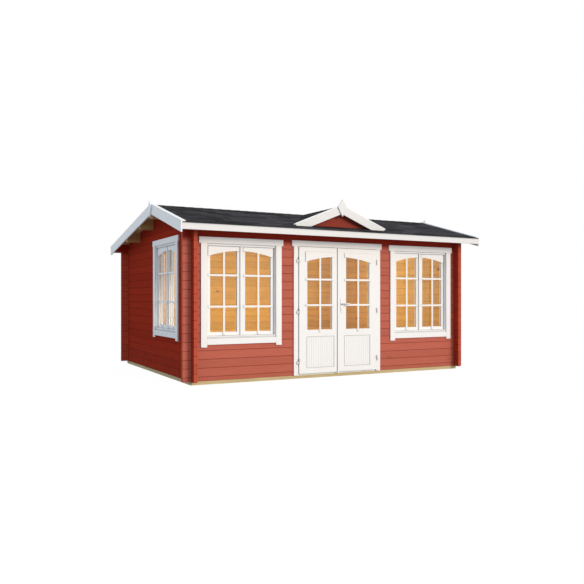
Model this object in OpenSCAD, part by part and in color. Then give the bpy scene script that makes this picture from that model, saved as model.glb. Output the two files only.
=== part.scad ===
// Log garden cabin: interlocking log walls, an uneven gable roof with its ridge nearer the front,
// a glazed double door under a small dormer gable, and three double windows.
// Millimetres, +Z up. X runs along the front, and Y runs from the front to the rear.
// The origin is on the ground, under the middle of the roof's outline.

/* [Cabin] */
// Width over the outer faces of the end walls
cabin_w = 4460; // [3700:10:5400]
// Depth over the outer faces of the front and rear walls
cabin_d = 3330; // [2900:10:4000]
// Height of the front wall above the base beams, at its outer face
front_wall_h = 2090; // [2060:10:2600]

/* [Logs] */
// Height of one log, from joint to joint
log_h = 114; // [95:1:140]
// Thickness of the logs
log_t = 50; // [38:1:70]
// Length of the log ends past the corners
corner_run = 112; // [60:1:150]
// Depth of the groove along each log joint
groove = 4; // [2:0.5:6]

/* [Base and floor] */
// Height of the base beams
base_h = 45; // [35:1:80]
// Width of the base beams
beam_w = 70; // [45:1:100]
// Most that the floor may span between two beams
beam_gap = 460; // [300:10:480]
// Thickness of the floor boards
floor_t = 19; // [16:1:28]
// Gap between the floor and the walls
floor_gap = 5; // [2:1:12]

/* [Roof] */
// Distance from the front wall's outer face back to the ridge
ridge_back = 1072; // [900:1:1200]
// Slope of the front roof
front_pitch = 15.4; // [12:0.1:20]
// Slope of the rear roof
rear_pitch = 9.8; // [6:0.1:12]
// Front overhang, from the wall to the outer end of the bargeboards
front_eave = 285; // [200:1:400]
// Rear overhang, from the wall to the outer end of the bargeboards
rear_eave = 262; // [200:1:400]
// Overhang at each gable, from the wall to the outer face of the bargeboards
gable_run = 230; // [180:1:400]
// Thickness of the roof boards
roof_t = 19; // [16:1:28]
// Thickness of the shingle covering
shingle_t = 6; // [4:1:10]
// How far the shingles run past the fascia boards
shingle_drip = 12; // [4:1:25]
// Height of the bargeboards
barge_h = 132; // [100:1:180]
// Thickness of the bargeboards and fascia boards
trim_t = 20; // [16:1:30]
// Height of the fascia boards
fascia_h = 88; // [70:1:120]
// Width of the strips that cover the shingles along the bargeboards
verge_w = 62; // [45:1:90]
// Thickness of those strips
verge_t = 14; // [8:1:20]
// Height of the ridge beam
ridge_beam_h = 175; // [120:1:220]
// Height of the purlins
purlin_h = 145; // [110:1:200]
// Width of the ridge beam and purlins
purlin_w = 70; // [44:1:100]
// Distance from the ridge back to the middle of the first purlin
purlin_back = 680; // [500:1:750]
// Distance between the middles of two purlins
purlin_step = 767; // [600:1:850]
// Number of purlins under the rear roof
purlin_count = 2; // [1:1:2]

/* [Dormer] */
// Distance from the front wall back to the dormer's bargeboards; it stands out when negative
dormer_back = -111; // [-200:1:0]
// Width over the dormer's bargeboards
dormer_w = 1492; // [1300:1:1700]
// Slope of the dormer's roof
dormer_pitch = 22; // [18:0.5:26]
// Height of the dormer's ridge below the main ridge
dormer_drop = 6; // [0:1:60]
// Upright height of the dormer's bargeboards
dormer_barge_h = 113; // [90:1:150]
// Distance from the bargeboards' back to the dormer's gable panel
dormer_recess = 60; // [30:1:120]
// Thickness of the dormer's gable panel
dormer_panel_t = 19; // [12:1:28]

/* [Finials] */
// Width of a finial
finial_w = 150; // [90:1:180]
// Height of a finial
finial_h = 250; // [200:1:320]
// Distance from a finial's top down to its widest place
finial_shoulder = 112; // [80:1:140]
// Height of a gable finial's top above the strips' peak
finial_rise = 47; // [20:1:90]
// Height of the dormer finial's top above the strips' peak
dormer_finial_rise = 75; // [20:1:90]
// Thickness of a finial
finial_t = 18; // [12:1:24]

/* [Casings] */
// Width of the windows' side boards
casing_w = 85; // [70:1:100]
// Width of the door's side boards
door_casing_w = 70; // [60:1:100]
// Height of the foot boards
casing_foot_h = 80; // [60:1:100]
// Height of the head boards
casing_head_h = 84; // [60:1:100]
// Thickness of the casing boards
casing_t = 20; // [16:1:28]
// How far the head board runs past the side boards
casing_ear = 26; // [0:1:50]
// How far the side boards run below the foot board
casing_foot = 33; // [0:1:60]

/* [Windows] */
// Width of a pair of sashes
sash_pair_w = 977; // [800:1:1100]
// Height of a sash
sash_h = 1186; // [950:1:1250]
// Thickness of a sash
sash_t = 46; // [36:1:56]
// Distance from the wall's outer face back to the sashes
sash_set_back = 32; // [20:1:40]
// Width of a sash's outer stile
sash_stile = 45; // [40:1:70]
// Width of a sash's meeting stile
sash_meeting = 57.5; // [45:0.5:70]
// Height of a sash's bottom rail
sash_rail = 48; // [45:1:80]
// Height of a sash's top rail at the crown of the arch
sash_crown = 58; // [50:1:90]
// Rise of the arch over both sashes
sash_arch = 68; // [40:1:90]
// Width of the frame that shows beside the sashes
frame_side = 14; // [10:1:40]
// Height of the frame that shows below the sashes
frame_foot = 34; // [10:1:40]
// Height of the frame that shows above the sashes
frame_head = 29; // [10:1:40]
// Distance from the middle of the cabin to the middle of each front window
window_x = 1512; // [1450:1:1550]
// Height of the front windows' sashes above the base beams
window_z = 588; // [500:1:640]
// Distance from the front wall's outer face to the middle of the side window
side_window_y = 1090; // [900:1:1300]
// Height of the side window's sashes above the base beams
side_window_z = 645; // [540:1:660]

/* [Door] */
// Width between the door's casings
door_w = 1324; // [1180:1:1400]
// Height of a door leaf
leaf_h = 1782; // [1650:1:1820]
// Thickness of a door leaf
leaf_t = 50; // [40:1:56]
// How far the leaves stand out from the casings
leaf_out = 14; // [0:1:20]
// Gap around the door leaves
leaf_gap = 5; // [5:0.5:8]
// Gap where the two leaves meet
meeting_gap = 8; // [7:0.5:12]
// How far that gap lies to the left of the middle
meeting_shift = 34; // [0:1:50]
// Height of the threshold above the base beams
sill_h = 18; // [12:1:30]
// Width of a leaf's outer stile
leaf_stile = 129; // [100:1:160]
// Width of the wood between the glass of the two leaves
leaf_middle = 236; // [200:1:280]
// Height of a leaf's top rail at the crown of the arch
leaf_crown = 127; // [110:1:170]
// Rise of the arch over both leaves
leaf_arch = 72; // [40:1:100]
// Height of the glass above the foot of a leaf
leaf_glass_z = 614; // [500:1:700]
// Height of the wood between a leaf's glass and its lower panel
middle_rail = 94; // [70:1:140]
// Height of a leaf's bottom rail
bottom_rail = 76; // [60:1:140]
// Width of the wood outside a lower panel
panel_side = 118; // [80:1:150]
// Distance from the middle of the door to each lower panel
panel_middle = 85; // [60:1:120]
// Depth of the lower panel below the face of its leaf
panel_recess = 8; // [4:1:12]

/* [Lattices] */
// Width of the bars in front of the glass
bar_w = 26; // [18:1:34]
// Thickness of the bars
bar_t = 12; // [8:1:16]
// How far the level bars lap on the stiles
bar_end = 30; // [10:1:35]
// How far the upright bars lap on the bottom rails
bar_foot = 36; // [10:1:44]

/* [Hidden] */
$fn = 48;
LARCH = "#b9ad7c";
PINE = "#cf9a58";
RED = "#a8452f";
WHITE = "#f0ece6";
BLACK = "#46464c";
STEEL = "#b4b4b4";
GLASS = "#b8cdd0";

// The four walls
x_out = cabin_w / 2;
y_front = -(cabin_d + rear_eave - front_eave) / 2;
y_rear = y_front + cabin_d;
wall_z = base_h;
big = 20000;

// The roof planes, at the underside of the roof boards
ridge_y = y_front + ridge_back;
ridge_under = wall_z + front_wall_h + ridge_back * tan(front_pitch);
function roof_under(y) =
    y < ridge_y ? ridge_under - (ridge_y - y) * tan(front_pitch)
                : ridge_under - (y - ridge_y) * tan(rear_pitch);
// Height above the underside, measured upright, of a layer of thickness t on each slope
function on_front(t) = t / cos(front_pitch);
function on_rear(t) = t / cos(rear_pitch);
y_eave = y_front - front_eave;
y_rear_eave = y_rear + rear_eave;
// Lines past the eaves, from which every sloping face is drawn
y_far_front = y_eave - 100;
y_far_rear = y_rear_eave + 100;
x_barge = x_out + gable_run;
x_roof = x_barge - trim_t;
cover_t = roof_t + shingle_t;

// Joint heights: the end walls start with a whole log, the front and rear walls with a half log
half_log = log_h / 2;
function joint_z(n, shift) = wall_z + (n + shift) * log_h;
function joint_below(z, shift) = joint_z(floor((z - wall_z) / log_h - shift), shift);
front_plate_z = joint_below(roof_under(y_front) - half_log, 0.5);
rear_plate_z = joint_below(roof_under(y_rear) - half_log, 0.5);
gable_z = joint_below(min(roof_under(y_front), roof_under(y_rear)) - half_log, 0);

// Roof details
purlin_ys = [for (n = [0 : purlin_count - 1]) ridge_y + purlin_back + n * purlin_step];
cap_w = 110;
mitre = 1;
dormer_board_t = 16;
dormer_verge_t = 18;
dormer_verge_w = 50;
dormer_verge_run = 15;
dormer_y = y_front + dormer_back;
dormer_panel_y = dormer_y + trim_t + dormer_recess;
dormer_peak = ridge_under + on_front(cover_t) - dormer_drop;
function on_dormer(t) = t / cos(dormer_pitch);
dormer_cover = on_dormer(dormer_board_t + shingle_t);
function dormer_top(x) = dormer_peak - x * tan(dormer_pitch);
dormer_far = dormer_w / 2 + 100;

// Windows, with heights measured from the foot of the sashes
frame_ring = 46;
frame_lip_t = 10;
frame_lip_w = 12;
sash_gap = 2;
glass_t = 4;
glass_bed = 10;
glass_play = 0.5;
sash_lip = 18;
sash_x0 = -sash_pair_w / 2 + sash_stile;
sash_x1 = -sash_gap / 2 - sash_meeting;
sash_top = sash_h - sash_crown;
sash_bars = [384, 800];
sash_cover_w = 36;
sash_cover_t = 18;
window_hole_w = sash_pair_w + 2 * frame_ring;
window_hole_h = sash_h + 2 * frame_ring;
casing_in_w = sash_pair_w + 2 * frame_side;

// Door
jamb_w = 42;
leaf_z = wall_z + sill_h + leaf_gap;
door_top_z = leaf_z + leaf_h + leaf_gap;
door_hole_w = door_w + 2 * jamb_w;
door_hole_top = door_top_z + jamb_w;
leaf_x0 = -door_w / 2 + leaf_gap;
glass_x0 = leaf_x0 + leaf_stile;
glass_x1 = -leaf_middle / 2;
leaf_top = leaf_h - leaf_crown;
leaf_board_h = 60;
casing_y = y_front - casing_t;
leaf_face_y = casing_y - leaf_out;
leaf_back_y = leaf_face_y + leaf_t;
leaf_bars = [963, 1326];
leaf_lip = 18;
leaf_cover_w = 24;
leaf_cover_t = 10;
leaf_cover_drop = 14;
stop_w = 14;
frame_back_y = y_front + log_t + 10;
front_split_z = joint_below(door_hole_top, 0.5);

// Hinges
knuckle_r = 7;
knuckle_h = 36;
pin_r = 3.5;
pin_h = 30;
pin_gap = 0.3;
pin_clear = 0.1;
hinge_off = 0.5;
hinge_plate_w = 30;
hinge_plate_t = 2.5;
hinge_x = door_w / 2 - leaf_gap / 2;
hinge_y = leaf_face_y - hinge_off - knuckle_r;
hinge_heights = [175, 880, 1600];

// Handle
handle_in = 42;
plate_w = 40;
plate_h = 160;
plate_t = 6;
plate_z = 875;
lever_z = 980;
handle_lever_z = leaf_z + lever_z;
lever_r = 8;
lever_l = 112;
lever_out = 48;
spindle_r = 7;

// ---------- Helpers ----------

// Extrudes a (y, z) outline along X
module along_x(x0, x1)
    translate([x0, 0, 0]) rotate([90, 0, 90]) linear_extrude(x1 - x0) children();

// Extrudes an (x, z) outline along Y
module along_y(y0, y1)
    translate([0, y1, 0]) rotate([90, 0, 0]) linear_extrude(y1 - y0) children();

// A box from its low corner to its high corner
module block(low, high)
    translate(low) cube(high - low);

// Everything below the underside of the roof boards
module below_roof()
    along_x(-big / 2, big / 2)
        polygon([[y_far_front, 0], [y_far_front, roof_under(y_far_front)], [ridge_y, ridge_under],
            [y_far_rear, roof_under(y_far_rear)], [y_far_rear, 0]]);

// Outline of a layer on one slope: upright ends, and its faces lie low and high above the underside
module slope_layer(y0, y1, low, high) {
    y_far = y1 > ridge_y ? y_far_rear : y_far_front;
    intersection() {
        translate([y0, 0]) square([y1 - y0, big]);
        polygon([[ridge_y, ridge_under + low], [y_far, roof_under(y_far) + low],
            [y_far, roof_under(y_far) + high], [ridge_y, ridge_under + high]]);
    }
}

// ---------- Log walls ----------

// Joints strictly between two heights
function joints(z0, z1, shift) =
    [for (n = [0 : ceil((z1 - wall_z) / log_h)])
        if (joint_z(n, shift) > z0 + groove * 2 && joint_z(n, shift) < z1 - groove * 2)
            joint_z(n, shift)];

function turned(list) = [for (i = [len(list) - 1 : -1 : 0]) list[i]];

// Outline of stacked logs, grooved at each joint and eased at its foot and head
function log_outline(z0, z1, shift) =
    let (inner = joints(z0, z1, shift))
    concat([[groove, z0], [0, z0 + groove]],
        [for (z = inner) each [[0, z - groove], [groove, z], [0, z + groove]]],
        [[0, z1 - groove], [groove, z1], [log_t - groove, z1], [log_t, z1 - groove]],
        [for (z = turned(inner)) each
            [[log_t, z + groove], [log_t - groove, z], [log_t, z - groove]]],
        [[log_t, z0 + groove], [log_t - groove, z0]]);

// Logs along X whose outer face is at y
module long_logs(x0, x1, y, z0, z1)
    along_x(x0, x1) translate([y, 0]) polygon(log_outline(z0, z1, 0.5));

// Logs along Y whose low face is at x
module end_logs(y0, y1, x, z0, z1)
    along_y(y0, y1) translate([x, 0]) polygon(log_outline(z0, z1, 0));

// Cross laps: each log keeps the middle half of its height in a corner, so the notches that make
// room for the other wall's logs are half a log high and lie around this wall's own joints
module corner_notches(corners, shift)
    for (corner = corners, n = [-1 : ceil(ridge_under / log_h)])
        translate([corner.x, corner.y, joint_z(n, shift) - log_h / 4])
            cube([log_t, log_t, half_log]);

// A stretch of the front or rear wall, with its outer face at y
module long_wall(x0, x1, y, z0, z1)
    difference() {
        long_logs(x0, x1, y, z0, z1);
        corner_notches([[-x_out, y], [x_out - log_t, y]], 0.5);
    }

// An end wall's logs from z0 to z1, cut to the roof, with its low face at x
module end_wall(x, z0, z1)
    intersection() {
        difference() {
            end_logs(y_front - corner_run, y_rear + corner_run, x, z0, z1);
            corner_notches([[x, y_front], [x, y_rear - log_t]], 0);
        }
        below_roof();
    }

// ---------- Places of the windows ----------
// A window is drawn as seen from outside: X to the right, Y into the cabin, and its middle at X 0

module at_left_window() translate([-window_x, y_front, wall_z + window_z]) children();
module at_right_window() translate([window_x, y_front, wall_z + window_z]) children();
module at_side_window()
    translate([-x_out, y_front + side_window_y, wall_z + side_window_z]) rotate([0, 0, -90]) children();

// Hole in the logs for one window
module window_hole()
    translate([-window_hole_w / 2, -1, -frame_ring])
        cube([window_hole_w, log_t + 2, window_hole_h]);

// Hole in the logs for the door and its frame
module door_hole()
    block([-door_hole_w / 2, y_front - 1, wall_z - 1],
          [door_hole_w / 2, y_front + log_t + 1, door_hole_top]);

module front_openings() {
    at_left_window() window_hole();
    at_right_window() window_hole();
    door_hole();
}

// ---------- Base and floor ----------

module base_long_beams() color(LARCH)
    for (y = [y_front, y_rear - beam_w])
        block([-x_out, y, 0], [x_out, y + beam_w, base_h]);

module base_cross_beams() color(LARCH) {
    bays = ceil((cabin_w - beam_w) / (beam_gap + beam_w));
    step = (cabin_w - beam_w) / bays;
    for (n = [0 : bays])
        block([-x_out + n * step, y_front + beam_w, 0],
              [-x_out + n * step + beam_w, y_rear - beam_w, base_h]);
}

// The floor lies inside the walls and stops short of the door frame
module floor_boards() color(PINE) {
    inset = log_t + floor_gap;
    door_inset = door_hole_w / 2 + floor_gap;
    difference() {
        block([-x_out + inset, y_front + inset, wall_z],
              [x_out - inset, y_rear - inset, wall_z + floor_t]);
        block([-door_inset, y_front, 0], [door_inset, frame_back_y + floor_gap, big]);
    }
}

// ---------- Walls ----------

module front_wall_left() color(RED)
    difference() {
        long_wall(-x_out - corner_run, 0, y_front, wall_z, front_split_z);
        front_openings();
        block([-door_hole_w / 2, y_front - 1, 0], [1, y_front + log_t + 1, big]);
    }

module front_wall_right() color(RED)
    difference() {
        long_wall(0, x_out + corner_run, y_front, wall_z, front_split_z);
        front_openings();
        block([-1, y_front - 1, 0], [door_hole_w / 2, y_front + log_t + 1, big]);
    }

// The logs over the door run the whole width, and the highest ones carry the roof's overhang
module front_wall_top() color(RED)
    intersection() {
        difference() {
            union() {
                long_wall(-x_out - corner_run, x_out + corner_run, y_front, front_split_z, front_plate_z);
                long_wall(-x_roof, x_roof, y_front, front_plate_z, roof_under(y_front + log_t));
            }
            front_openings();
        }
        below_roof();
    }

module rear_wall() color(RED)
    intersection() {
        union() {
            long_wall(-x_out - corner_run, x_out + corner_run, y_rear - log_t, wall_z, rear_plate_z);
            long_wall(-x_roof, x_roof, y_rear - log_t, rear_plate_z, roof_under(y_rear - log_t));
        }
        below_roof();
    }

module left_wall() color(RED)
    difference() {
        end_wall(-x_out, wall_z, gable_z);
        at_side_window() window_hole();
    }

module right_wall() color(RED)
    end_wall(x_out - log_t, wall_z, gable_z);

module gable(x) color(RED)
    difference() {
        end_wall(x, gable_z, ridge_under);
        at_side_window() window_hole();
        beam_block(ridge_y, ridge_beam_h);
        for (y = purlin_ys) beam_block(y, purlin_h);
    }

module left_gable() gable(-x_out);

module right_gable() gable(x_out - log_t);

// ---------- Roof timber ----------

// The space over the foot of a beam along X that is centred at y
module beam_block(y, height)
    block([-x_roof, y - purlin_w / 2, roof_under(y) - height], [x_roof, y + purlin_w / 2, big]);

// Such a beam, its top planed to the roof and its foot level
module roof_beam(y, height)
    intersection() {
        beam_block(y, height);
        below_roof();
    }

module ridge_beam() color(PINE) roof_beam(ridge_y, ridge_beam_h);

module rear_purlins() color(PINE)
    for (y = purlin_ys) roof_beam(y, purlin_h);

module front_roof_boards() color(PINE)
    along_x(-x_roof, x_roof)
        slope_layer(y_eave + trim_t, ridge_y, 0, on_front(roof_t));

module rear_roof_boards() color(PINE)
    along_x(-x_roof, x_roof)
        slope_layer(ridge_y, y_rear_eave - trim_t, 0, on_rear(roof_t));

// ---------- Roof covering and trim ----------

module front_shingles() color(BLACK)
    along_x(-x_roof, x_roof)
        slope_layer(y_eave - shingle_drip, ridge_y, on_front(roof_t), on_front(cover_t));

module rear_shingles() color(BLACK)
    along_x(-x_roof, x_roof)
        slope_layer(ridge_y, y_rear_eave + shingle_drip, on_rear(roof_t), on_rear(cover_t));

// Everything below the top of the shingles
module below_shingles()
    along_x(-x_roof - 1, x_roof + 1) {
        slope_layer(y_far_front, ridge_y, -big, on_front(cover_t));
        slope_layer(ridge_y, y_far_rear, -big, on_rear(cover_t));
    }

// A bent strip of shingles over the ridge, between the verge strips
module ridge_cap() color(BLACK)
    along_x(-x_barge + verge_w, x_barge - verge_w) {
        slope_layer(ridge_y - cap_w, ridge_y, on_front(cover_t), on_front(cover_t + shingle_t));
        slope_layer(ridge_y, ridge_y + cap_w, on_rear(cover_t), on_rear(cover_t + shingle_t));
    }

// The front and rear bargeboards of one gable, from x inwards by their thickness
module bargeboards(x) color(WHITE)
    along_x(x, x + trim_t) {
        slope_layer(y_eave, ridge_y - mitre / 2, on_front(cover_t) - barge_h, on_front(cover_t));
        slope_layer(ridge_y + mitre / 2, y_rear_eave, on_rear(cover_t) - barge_h, on_rear(cover_t));
    }

module left_bargeboards() bargeboards(-x_barge);

module right_bargeboards() bargeboards(x_barge - trim_t);

// Strips along the edges of the main roof and of the dormer
module verge_strips() color(WHITE) {
    for (x = [-x_barge, x_barge - verge_w])
        along_x(x, x + verge_w) {
            slope_layer(y_eave, ridge_y - mitre / 2, on_front(cover_t), on_front(cover_t + verge_t));
            slope_layer(ridge_y + mitre / 2, y_rear_eave, on_rear(cover_t), on_rear(cover_t + verge_t));
        }
    difference() {
        along_y(dormer_y, dormer_y + dormer_verge_w)
            for (side = [-1, 1])
                dormer_layer(side, mitre / 2, dormer_w / 2 + dormer_verge_run, 0,
                    on_dormer(dormer_verge_t));
        below_shingles();
    }
}

// Boards along the eaves whose feet are level and whose tops are planed to the roof
module fascia_boards() color(WHITE)
    along_x(-x_roof, x_roof) {
        intersection() {
            slope_layer(y_eave, y_eave + trim_t, -fascia_h, on_front(roof_t));
            translate([y_eave, roof_under(y_eave) + on_front(roof_t) - fascia_h])
                square([trim_t, big]);
        }
        intersection() {
            slope_layer(y_rear_eave - trim_t, y_rear_eave, -fascia_h, on_rear(roof_t));
            translate([y_rear_eave - trim_t, roof_under(y_rear_eave) + on_rear(roof_t) - fascia_h])
                square([trim_t, big]);
        }
    }

// A diamond whose top is at the height z
module diamond(z)
    polygon([[0, z], [finial_w / 2, z - finial_shoulder], [0, z - finial_h],
        [-finial_w / 2, z - finial_shoulder]]);

module gable_finials() color(WHITE) {
    top = ridge_under + on_front(cover_t + verge_t) + finial_rise;
    along_x(-x_barge - finial_t, -x_barge) translate([ridge_y, 0]) diamond(top);
    along_x(x_barge, x_barge + finial_t) translate([ridge_y, 0]) diamond(top);
}

// ---------- Dormer ----------

// Outline on one side of the dormer, between two distances from its middle; its faces lie low and
// high above the top of the dormer's shingles
module dormer_layer(side, x0, x1, low, high)
    intersection() {
        translate([side > 0 ? x0 : -x1, 0]) square([x1 - x0, big]);
        polygon([[0, dormer_peak + low], [side * dormer_far, dormer_top(dormer_far) + low],
            [side * dormer_far, dormer_top(dormer_far) + high], [0, dormer_peak + high]]);
    }

module dormer_gable() color(RED)
    difference() {
        along_y(dormer_panel_y, dormer_panel_y + dormer_panel_t)
            for (side = [-1, 1]) dormer_layer(side, 0, dormer_w / 2, -big, -dormer_cover);
        below_shingles();
    }

module dormer_roof_boards() color(PINE)
    difference() {
        along_y(dormer_y + trim_t, ridge_y)
            for (side = [-1, 1])
                dormer_layer(side, 0, dormer_w / 2, -dormer_cover, -on_dormer(shingle_t));
        below_shingles();
        ridge_cap();
    }

module dormer_shingles() color(BLACK)
    difference() {
        along_y(dormer_y + trim_t, ridge_y)
            for (side = [-1, 1])
                dormer_layer(side, 0, dormer_w / 2, -on_dormer(shingle_t), 0);
        below_shingles();
        ridge_cap();
    }

module dormer_bargeboards() color(WHITE)
    difference() {
        along_y(dormer_y, dormer_y + trim_t)
            for (side = [-1, 1])
                dormer_layer(side, mitre / 2, dormer_w / 2, -dormer_barge_h, 0);
        below_shingles();
    }

module dormer_finial() color(WHITE)
    along_y(dormer_y - finial_t, dormer_y)
        diamond(dormer_peak + on_dormer(dormer_verge_t) + dormer_finial_rise);

// ---------- Casings ----------

// Boards around an opening of the given width that reaches from z0 to z1, with side boards of width w
module casing(width, w, z0, z1) {
    for (x = [-width / 2 - w, width / 2])
        block([x, -casing_t, z0 - casing_foot_h - casing_foot], [x + w, 0, z1]);
    block([-width / 2, -casing_t, z0 - casing_foot_h], [width / 2, 0, z0]);
    block([-width / 2 - w - casing_ear, -casing_t, z1],
          [width / 2 + w + casing_ear, 0, z1 + casing_head_h]);
}

module window_casing() casing(casing_in_w, casing_w, -frame_foot, sash_h + frame_head);

module window_casings() color(WHITE) {
    at_left_window() window_casing();
    at_right_window() window_casing();
    at_side_window() window_casing();
}

// The door has no foot board, and its side boards stand on the base beams
module door_casing() color(WHITE)
    difference() {
        translate([0, y_front, 0]) casing(door_w, door_casing_w, wall_z, door_top_z);
        block([-big, -big, -big], [big, big, wall_z]);
    }

// ---------- Windows ----------

// Frame that fills the hole in the logs, with a lip behind the sashes
module window_frame() color(WHITE)
    difference() {
        translate([-window_hole_w / 2, 0, -frame_ring])
            cube([window_hole_w, sash_set_back + sash_t + frame_lip_t, window_hole_h]);
        block([-sash_pair_w / 2 - sash_gap, -1, -sash_gap],
              [sash_pair_w / 2 + sash_gap, sash_set_back + sash_t, sash_h + sash_gap]);
        block([-sash_pair_w / 2 + frame_lip_w, -1, frame_lip_w],
              [sash_pair_w / 2 - frame_lip_w, big, sash_h - frame_lip_w]);
    }

// Circle whose top has the given height, and whose arc rises by rise over each half of a span
module arch(half_span, top, rise) {
    r = (half_span * half_span + rise * rise) / (2 * rise);
    translate([0, top - r]) circle(r, $fn = 200);
}

// Lattice laid on a left-hand sash or leaf whose glass shows from x0 to x1 and z0 to z1: a board up
// to z_head with an arched lower edge, an upright bar in the middle and level bars at given heights
module lattice(x0, x1, z0, z1, z_head, rise, bars) {
    difference() {
        translate([x0 - bar_end, z1 - 2 * rise])
            square([x1 - x0 + 2 * bar_end, z_head - z1 + 2 * rise]);
        arch(-x0, z1, rise);
    }
    translate([(x0 + x1 - bar_w) / 2, z0 - bar_foot]) square([bar_w, z1 - z0 + bar_foot]);
    for (z = bars)
        translate([x0 - bar_end, z - bar_w / 2]) square([x1 - x0 + 2 * bar_end, bar_w]);
}

// Opening for the glass through a sash or leaf whose faces are at y0 and y1, with a groove lip behind
// the outer face that holds the edges of the glass
module glass_opening(x0, x1, z0, z1, y0, y1, lip) {
    block([x0, y0 - 1, z0], [x1, y1 + 1, z1]);
    block([x0 - glass_bed, y0 + lip, z0 - glass_bed],
          [x1 + glass_bed, y0 + lip + glass_t + glass_play, z1 + glass_bed]);
}

// Glass for such an opening
module pane(x0, x1, z0, z1, y) {
    edge = glass_bed - glass_play;
    block([x0 - edge, y, z0 - edge], [x1 + edge, y + glass_t, z1 + edge]);
}

// The left sash; the right one is its mirror image
module sash() {
    difference() {
        block([-sash_pair_w / 2, sash_set_back, 0], [-sash_gap / 2, sash_set_back + sash_t, sash_h]);
        glass_opening(sash_x0, sash_x1, sash_rail, sash_top, sash_set_back, sash_set_back + sash_t,
            sash_lip);
    }
    along_y(sash_set_back - bar_t, sash_set_back)
        lattice(sash_x0, sash_x1, sash_rail, sash_top, sash_h, sash_arch, sash_bars);
}

// Two sashes and the strip that covers the line where they meet
module sashes() color(WHITE) {
    sash();
    mirror([1, 0, 0]) sash();
    block([-sash_cover_w / 2, sash_set_back - sash_cover_t, 0],
          [sash_cover_w / 2, sash_set_back, sash_h]);
}

module sash_glass()
    for (side = [0, 1]) mirror([side, 0, 0])
        pane(sash_x0, sash_x1, sash_rail, sash_top, sash_set_back + sash_lip);

module left_window_frame() at_left_window() window_frame();

module right_window_frame() at_right_window() window_frame();

module side_window_frame() at_side_window() window_frame();

module left_window_sashes() at_left_window() sashes();

module right_window_sashes() at_right_window() sashes();

module side_window_sashes() at_side_window() sashes();

module window_glass() color(GLASS) {
    at_left_window() sash_glass();
    at_right_window() sash_glass();
    at_side_window() sash_glass();
}

// ---------- Door ----------

// Jambs, head and threshold in one, with a stop behind the leaves
module door_frame() color(WHITE)
    difference() {
        block([-door_hole_w / 2, y_front, wall_z], [door_hole_w / 2, frame_back_y, door_hole_top]);
        block([-door_w / 2, -big, wall_z + sill_h], [door_w / 2, leaf_back_y + leaf_gap, door_top_z]);
        block([-door_w / 2 + stop_w, -big, wall_z + sill_h],
              [door_w / 2 - stop_w, big, door_top_z - stop_w]);
    }

// A left-hand leaf from its hinged edge to x_meet, without a hole for a handle
module plain_leaf(x_meet) {
    difference() {
        block([leaf_x0, leaf_face_y, leaf_z], [x_meet, leaf_back_y, leaf_z + leaf_h]);
        glass_opening(glass_x0, glass_x1, leaf_z + leaf_glass_z, leaf_z + leaf_top,
            leaf_face_y, leaf_back_y, leaf_lip);
        for (y = [leaf_face_y - 1, leaf_back_y - panel_recess])
            block([leaf_x0 + panel_side, y, leaf_z + bottom_rail],
                  [-panel_middle, y + panel_recess + 1, leaf_z + leaf_glass_z - middle_rail]);
    }
    along_y(leaf_face_y - bar_t, leaf_face_y) translate([0, leaf_z])
        lattice(glass_x0, glass_x1, leaf_glass_z, leaf_top, leaf_top + leaf_board_h, leaf_arch,
            leaf_bars);
}

module left_door_leaf() color(WHITE) plain_leaf(-meeting_shift - meeting_gap / 2);

// The right leaf has the handle, and a strip along its meeting edge
module right_door_leaf() color(WHITE) {
    difference() {
        mirror([1, 0, 0]) plain_leaf(meeting_shift - meeting_gap / 2);
        translate([handle_in, leaf_face_y - 1, handle_lever_z]) rotate([-90, 0, 0])
            cylinder(r = spindle_r + pin_clear, h = leaf_t + 2);
    }
    translate([-meeting_shift + meeting_gap / 2, leaf_face_y - leaf_cover_t, leaf_z - leaf_cover_drop])
        cube([leaf_cover_w, leaf_cover_t, leaf_h + leaf_cover_drop]);
}

module leaf_glass()
    pane(glass_x0, glass_x1, leaf_z + leaf_glass_z, leaf_z + leaf_top, leaf_face_y + leaf_lip);

module left_door_glass() color(GLASS) leaf_glass();

module right_door_glass() color(GLASS) mirror([1, 0, 0]) leaf_glass();

// One knuckle around the hinge line with a plate that lies on the wood to the right of it
module hinge_half(z, plate_side) {
    translate([-hinge_x, hinge_y, z]) cylinder(r = knuckle_r, h = knuckle_h);
    low_x = plate_side > 0 ? -hinge_x : -hinge_x - hinge_plate_w;
    block([low_x, leaf_face_y - hinge_plate_t, z],
          [low_x + hinge_plate_w, leaf_face_y, z + knuckle_h]);
}

// The upper halves, which ride on the left leaf
module leaf_hinges()
    for (h = hinge_heights)
        difference() {
            hinge_half(leaf_z + h + pin_gap, 1);
            translate([-hinge_x, hinge_y, leaf_z + h - 1])
                cylinder(r = pin_r + pin_clear, h = pin_h + pin_gap + 2);
        }

// The lower halves, which stand on packers on the casing, and their pins
module fixed_hinges()
    for (h = hinge_heights) {
        hinge_half(leaf_z + h - knuckle_h, -1);
        block([-hinge_x - hinge_plate_w, leaf_face_y, leaf_z + h - knuckle_h],
              [-door_w / 2, casing_y, leaf_z + h]);
        translate([-hinge_x, hinge_y, leaf_z + h - 1]) cylinder(r = pin_r, h = pin_h + 1);
    }

module left_door_hinges() color(STEEL) leaf_hinges();

module right_door_hinges() color(STEEL) mirror([1, 0, 0]) leaf_hinges();

module frame_hinges() color(STEEL) {
    fixed_hinges();
    mirror([1, 0, 0]) fixed_hinges();
}

module handle_plates() color(STEEL)
    for (y = [leaf_face_y - plate_t, leaf_back_y])
        along_y(y, y + plate_t) translate([handle_in, leaf_z])
            difference() {
                union() {
                    translate([-plate_w / 2, plate_z]) square([plate_w, plate_h]);
                    for (z = [plate_z, plate_z + plate_h]) translate([0, z]) circle(plate_w / 2);
                }
                translate([0, lever_z]) circle(spindle_r + pin_clear);
            }

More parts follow.
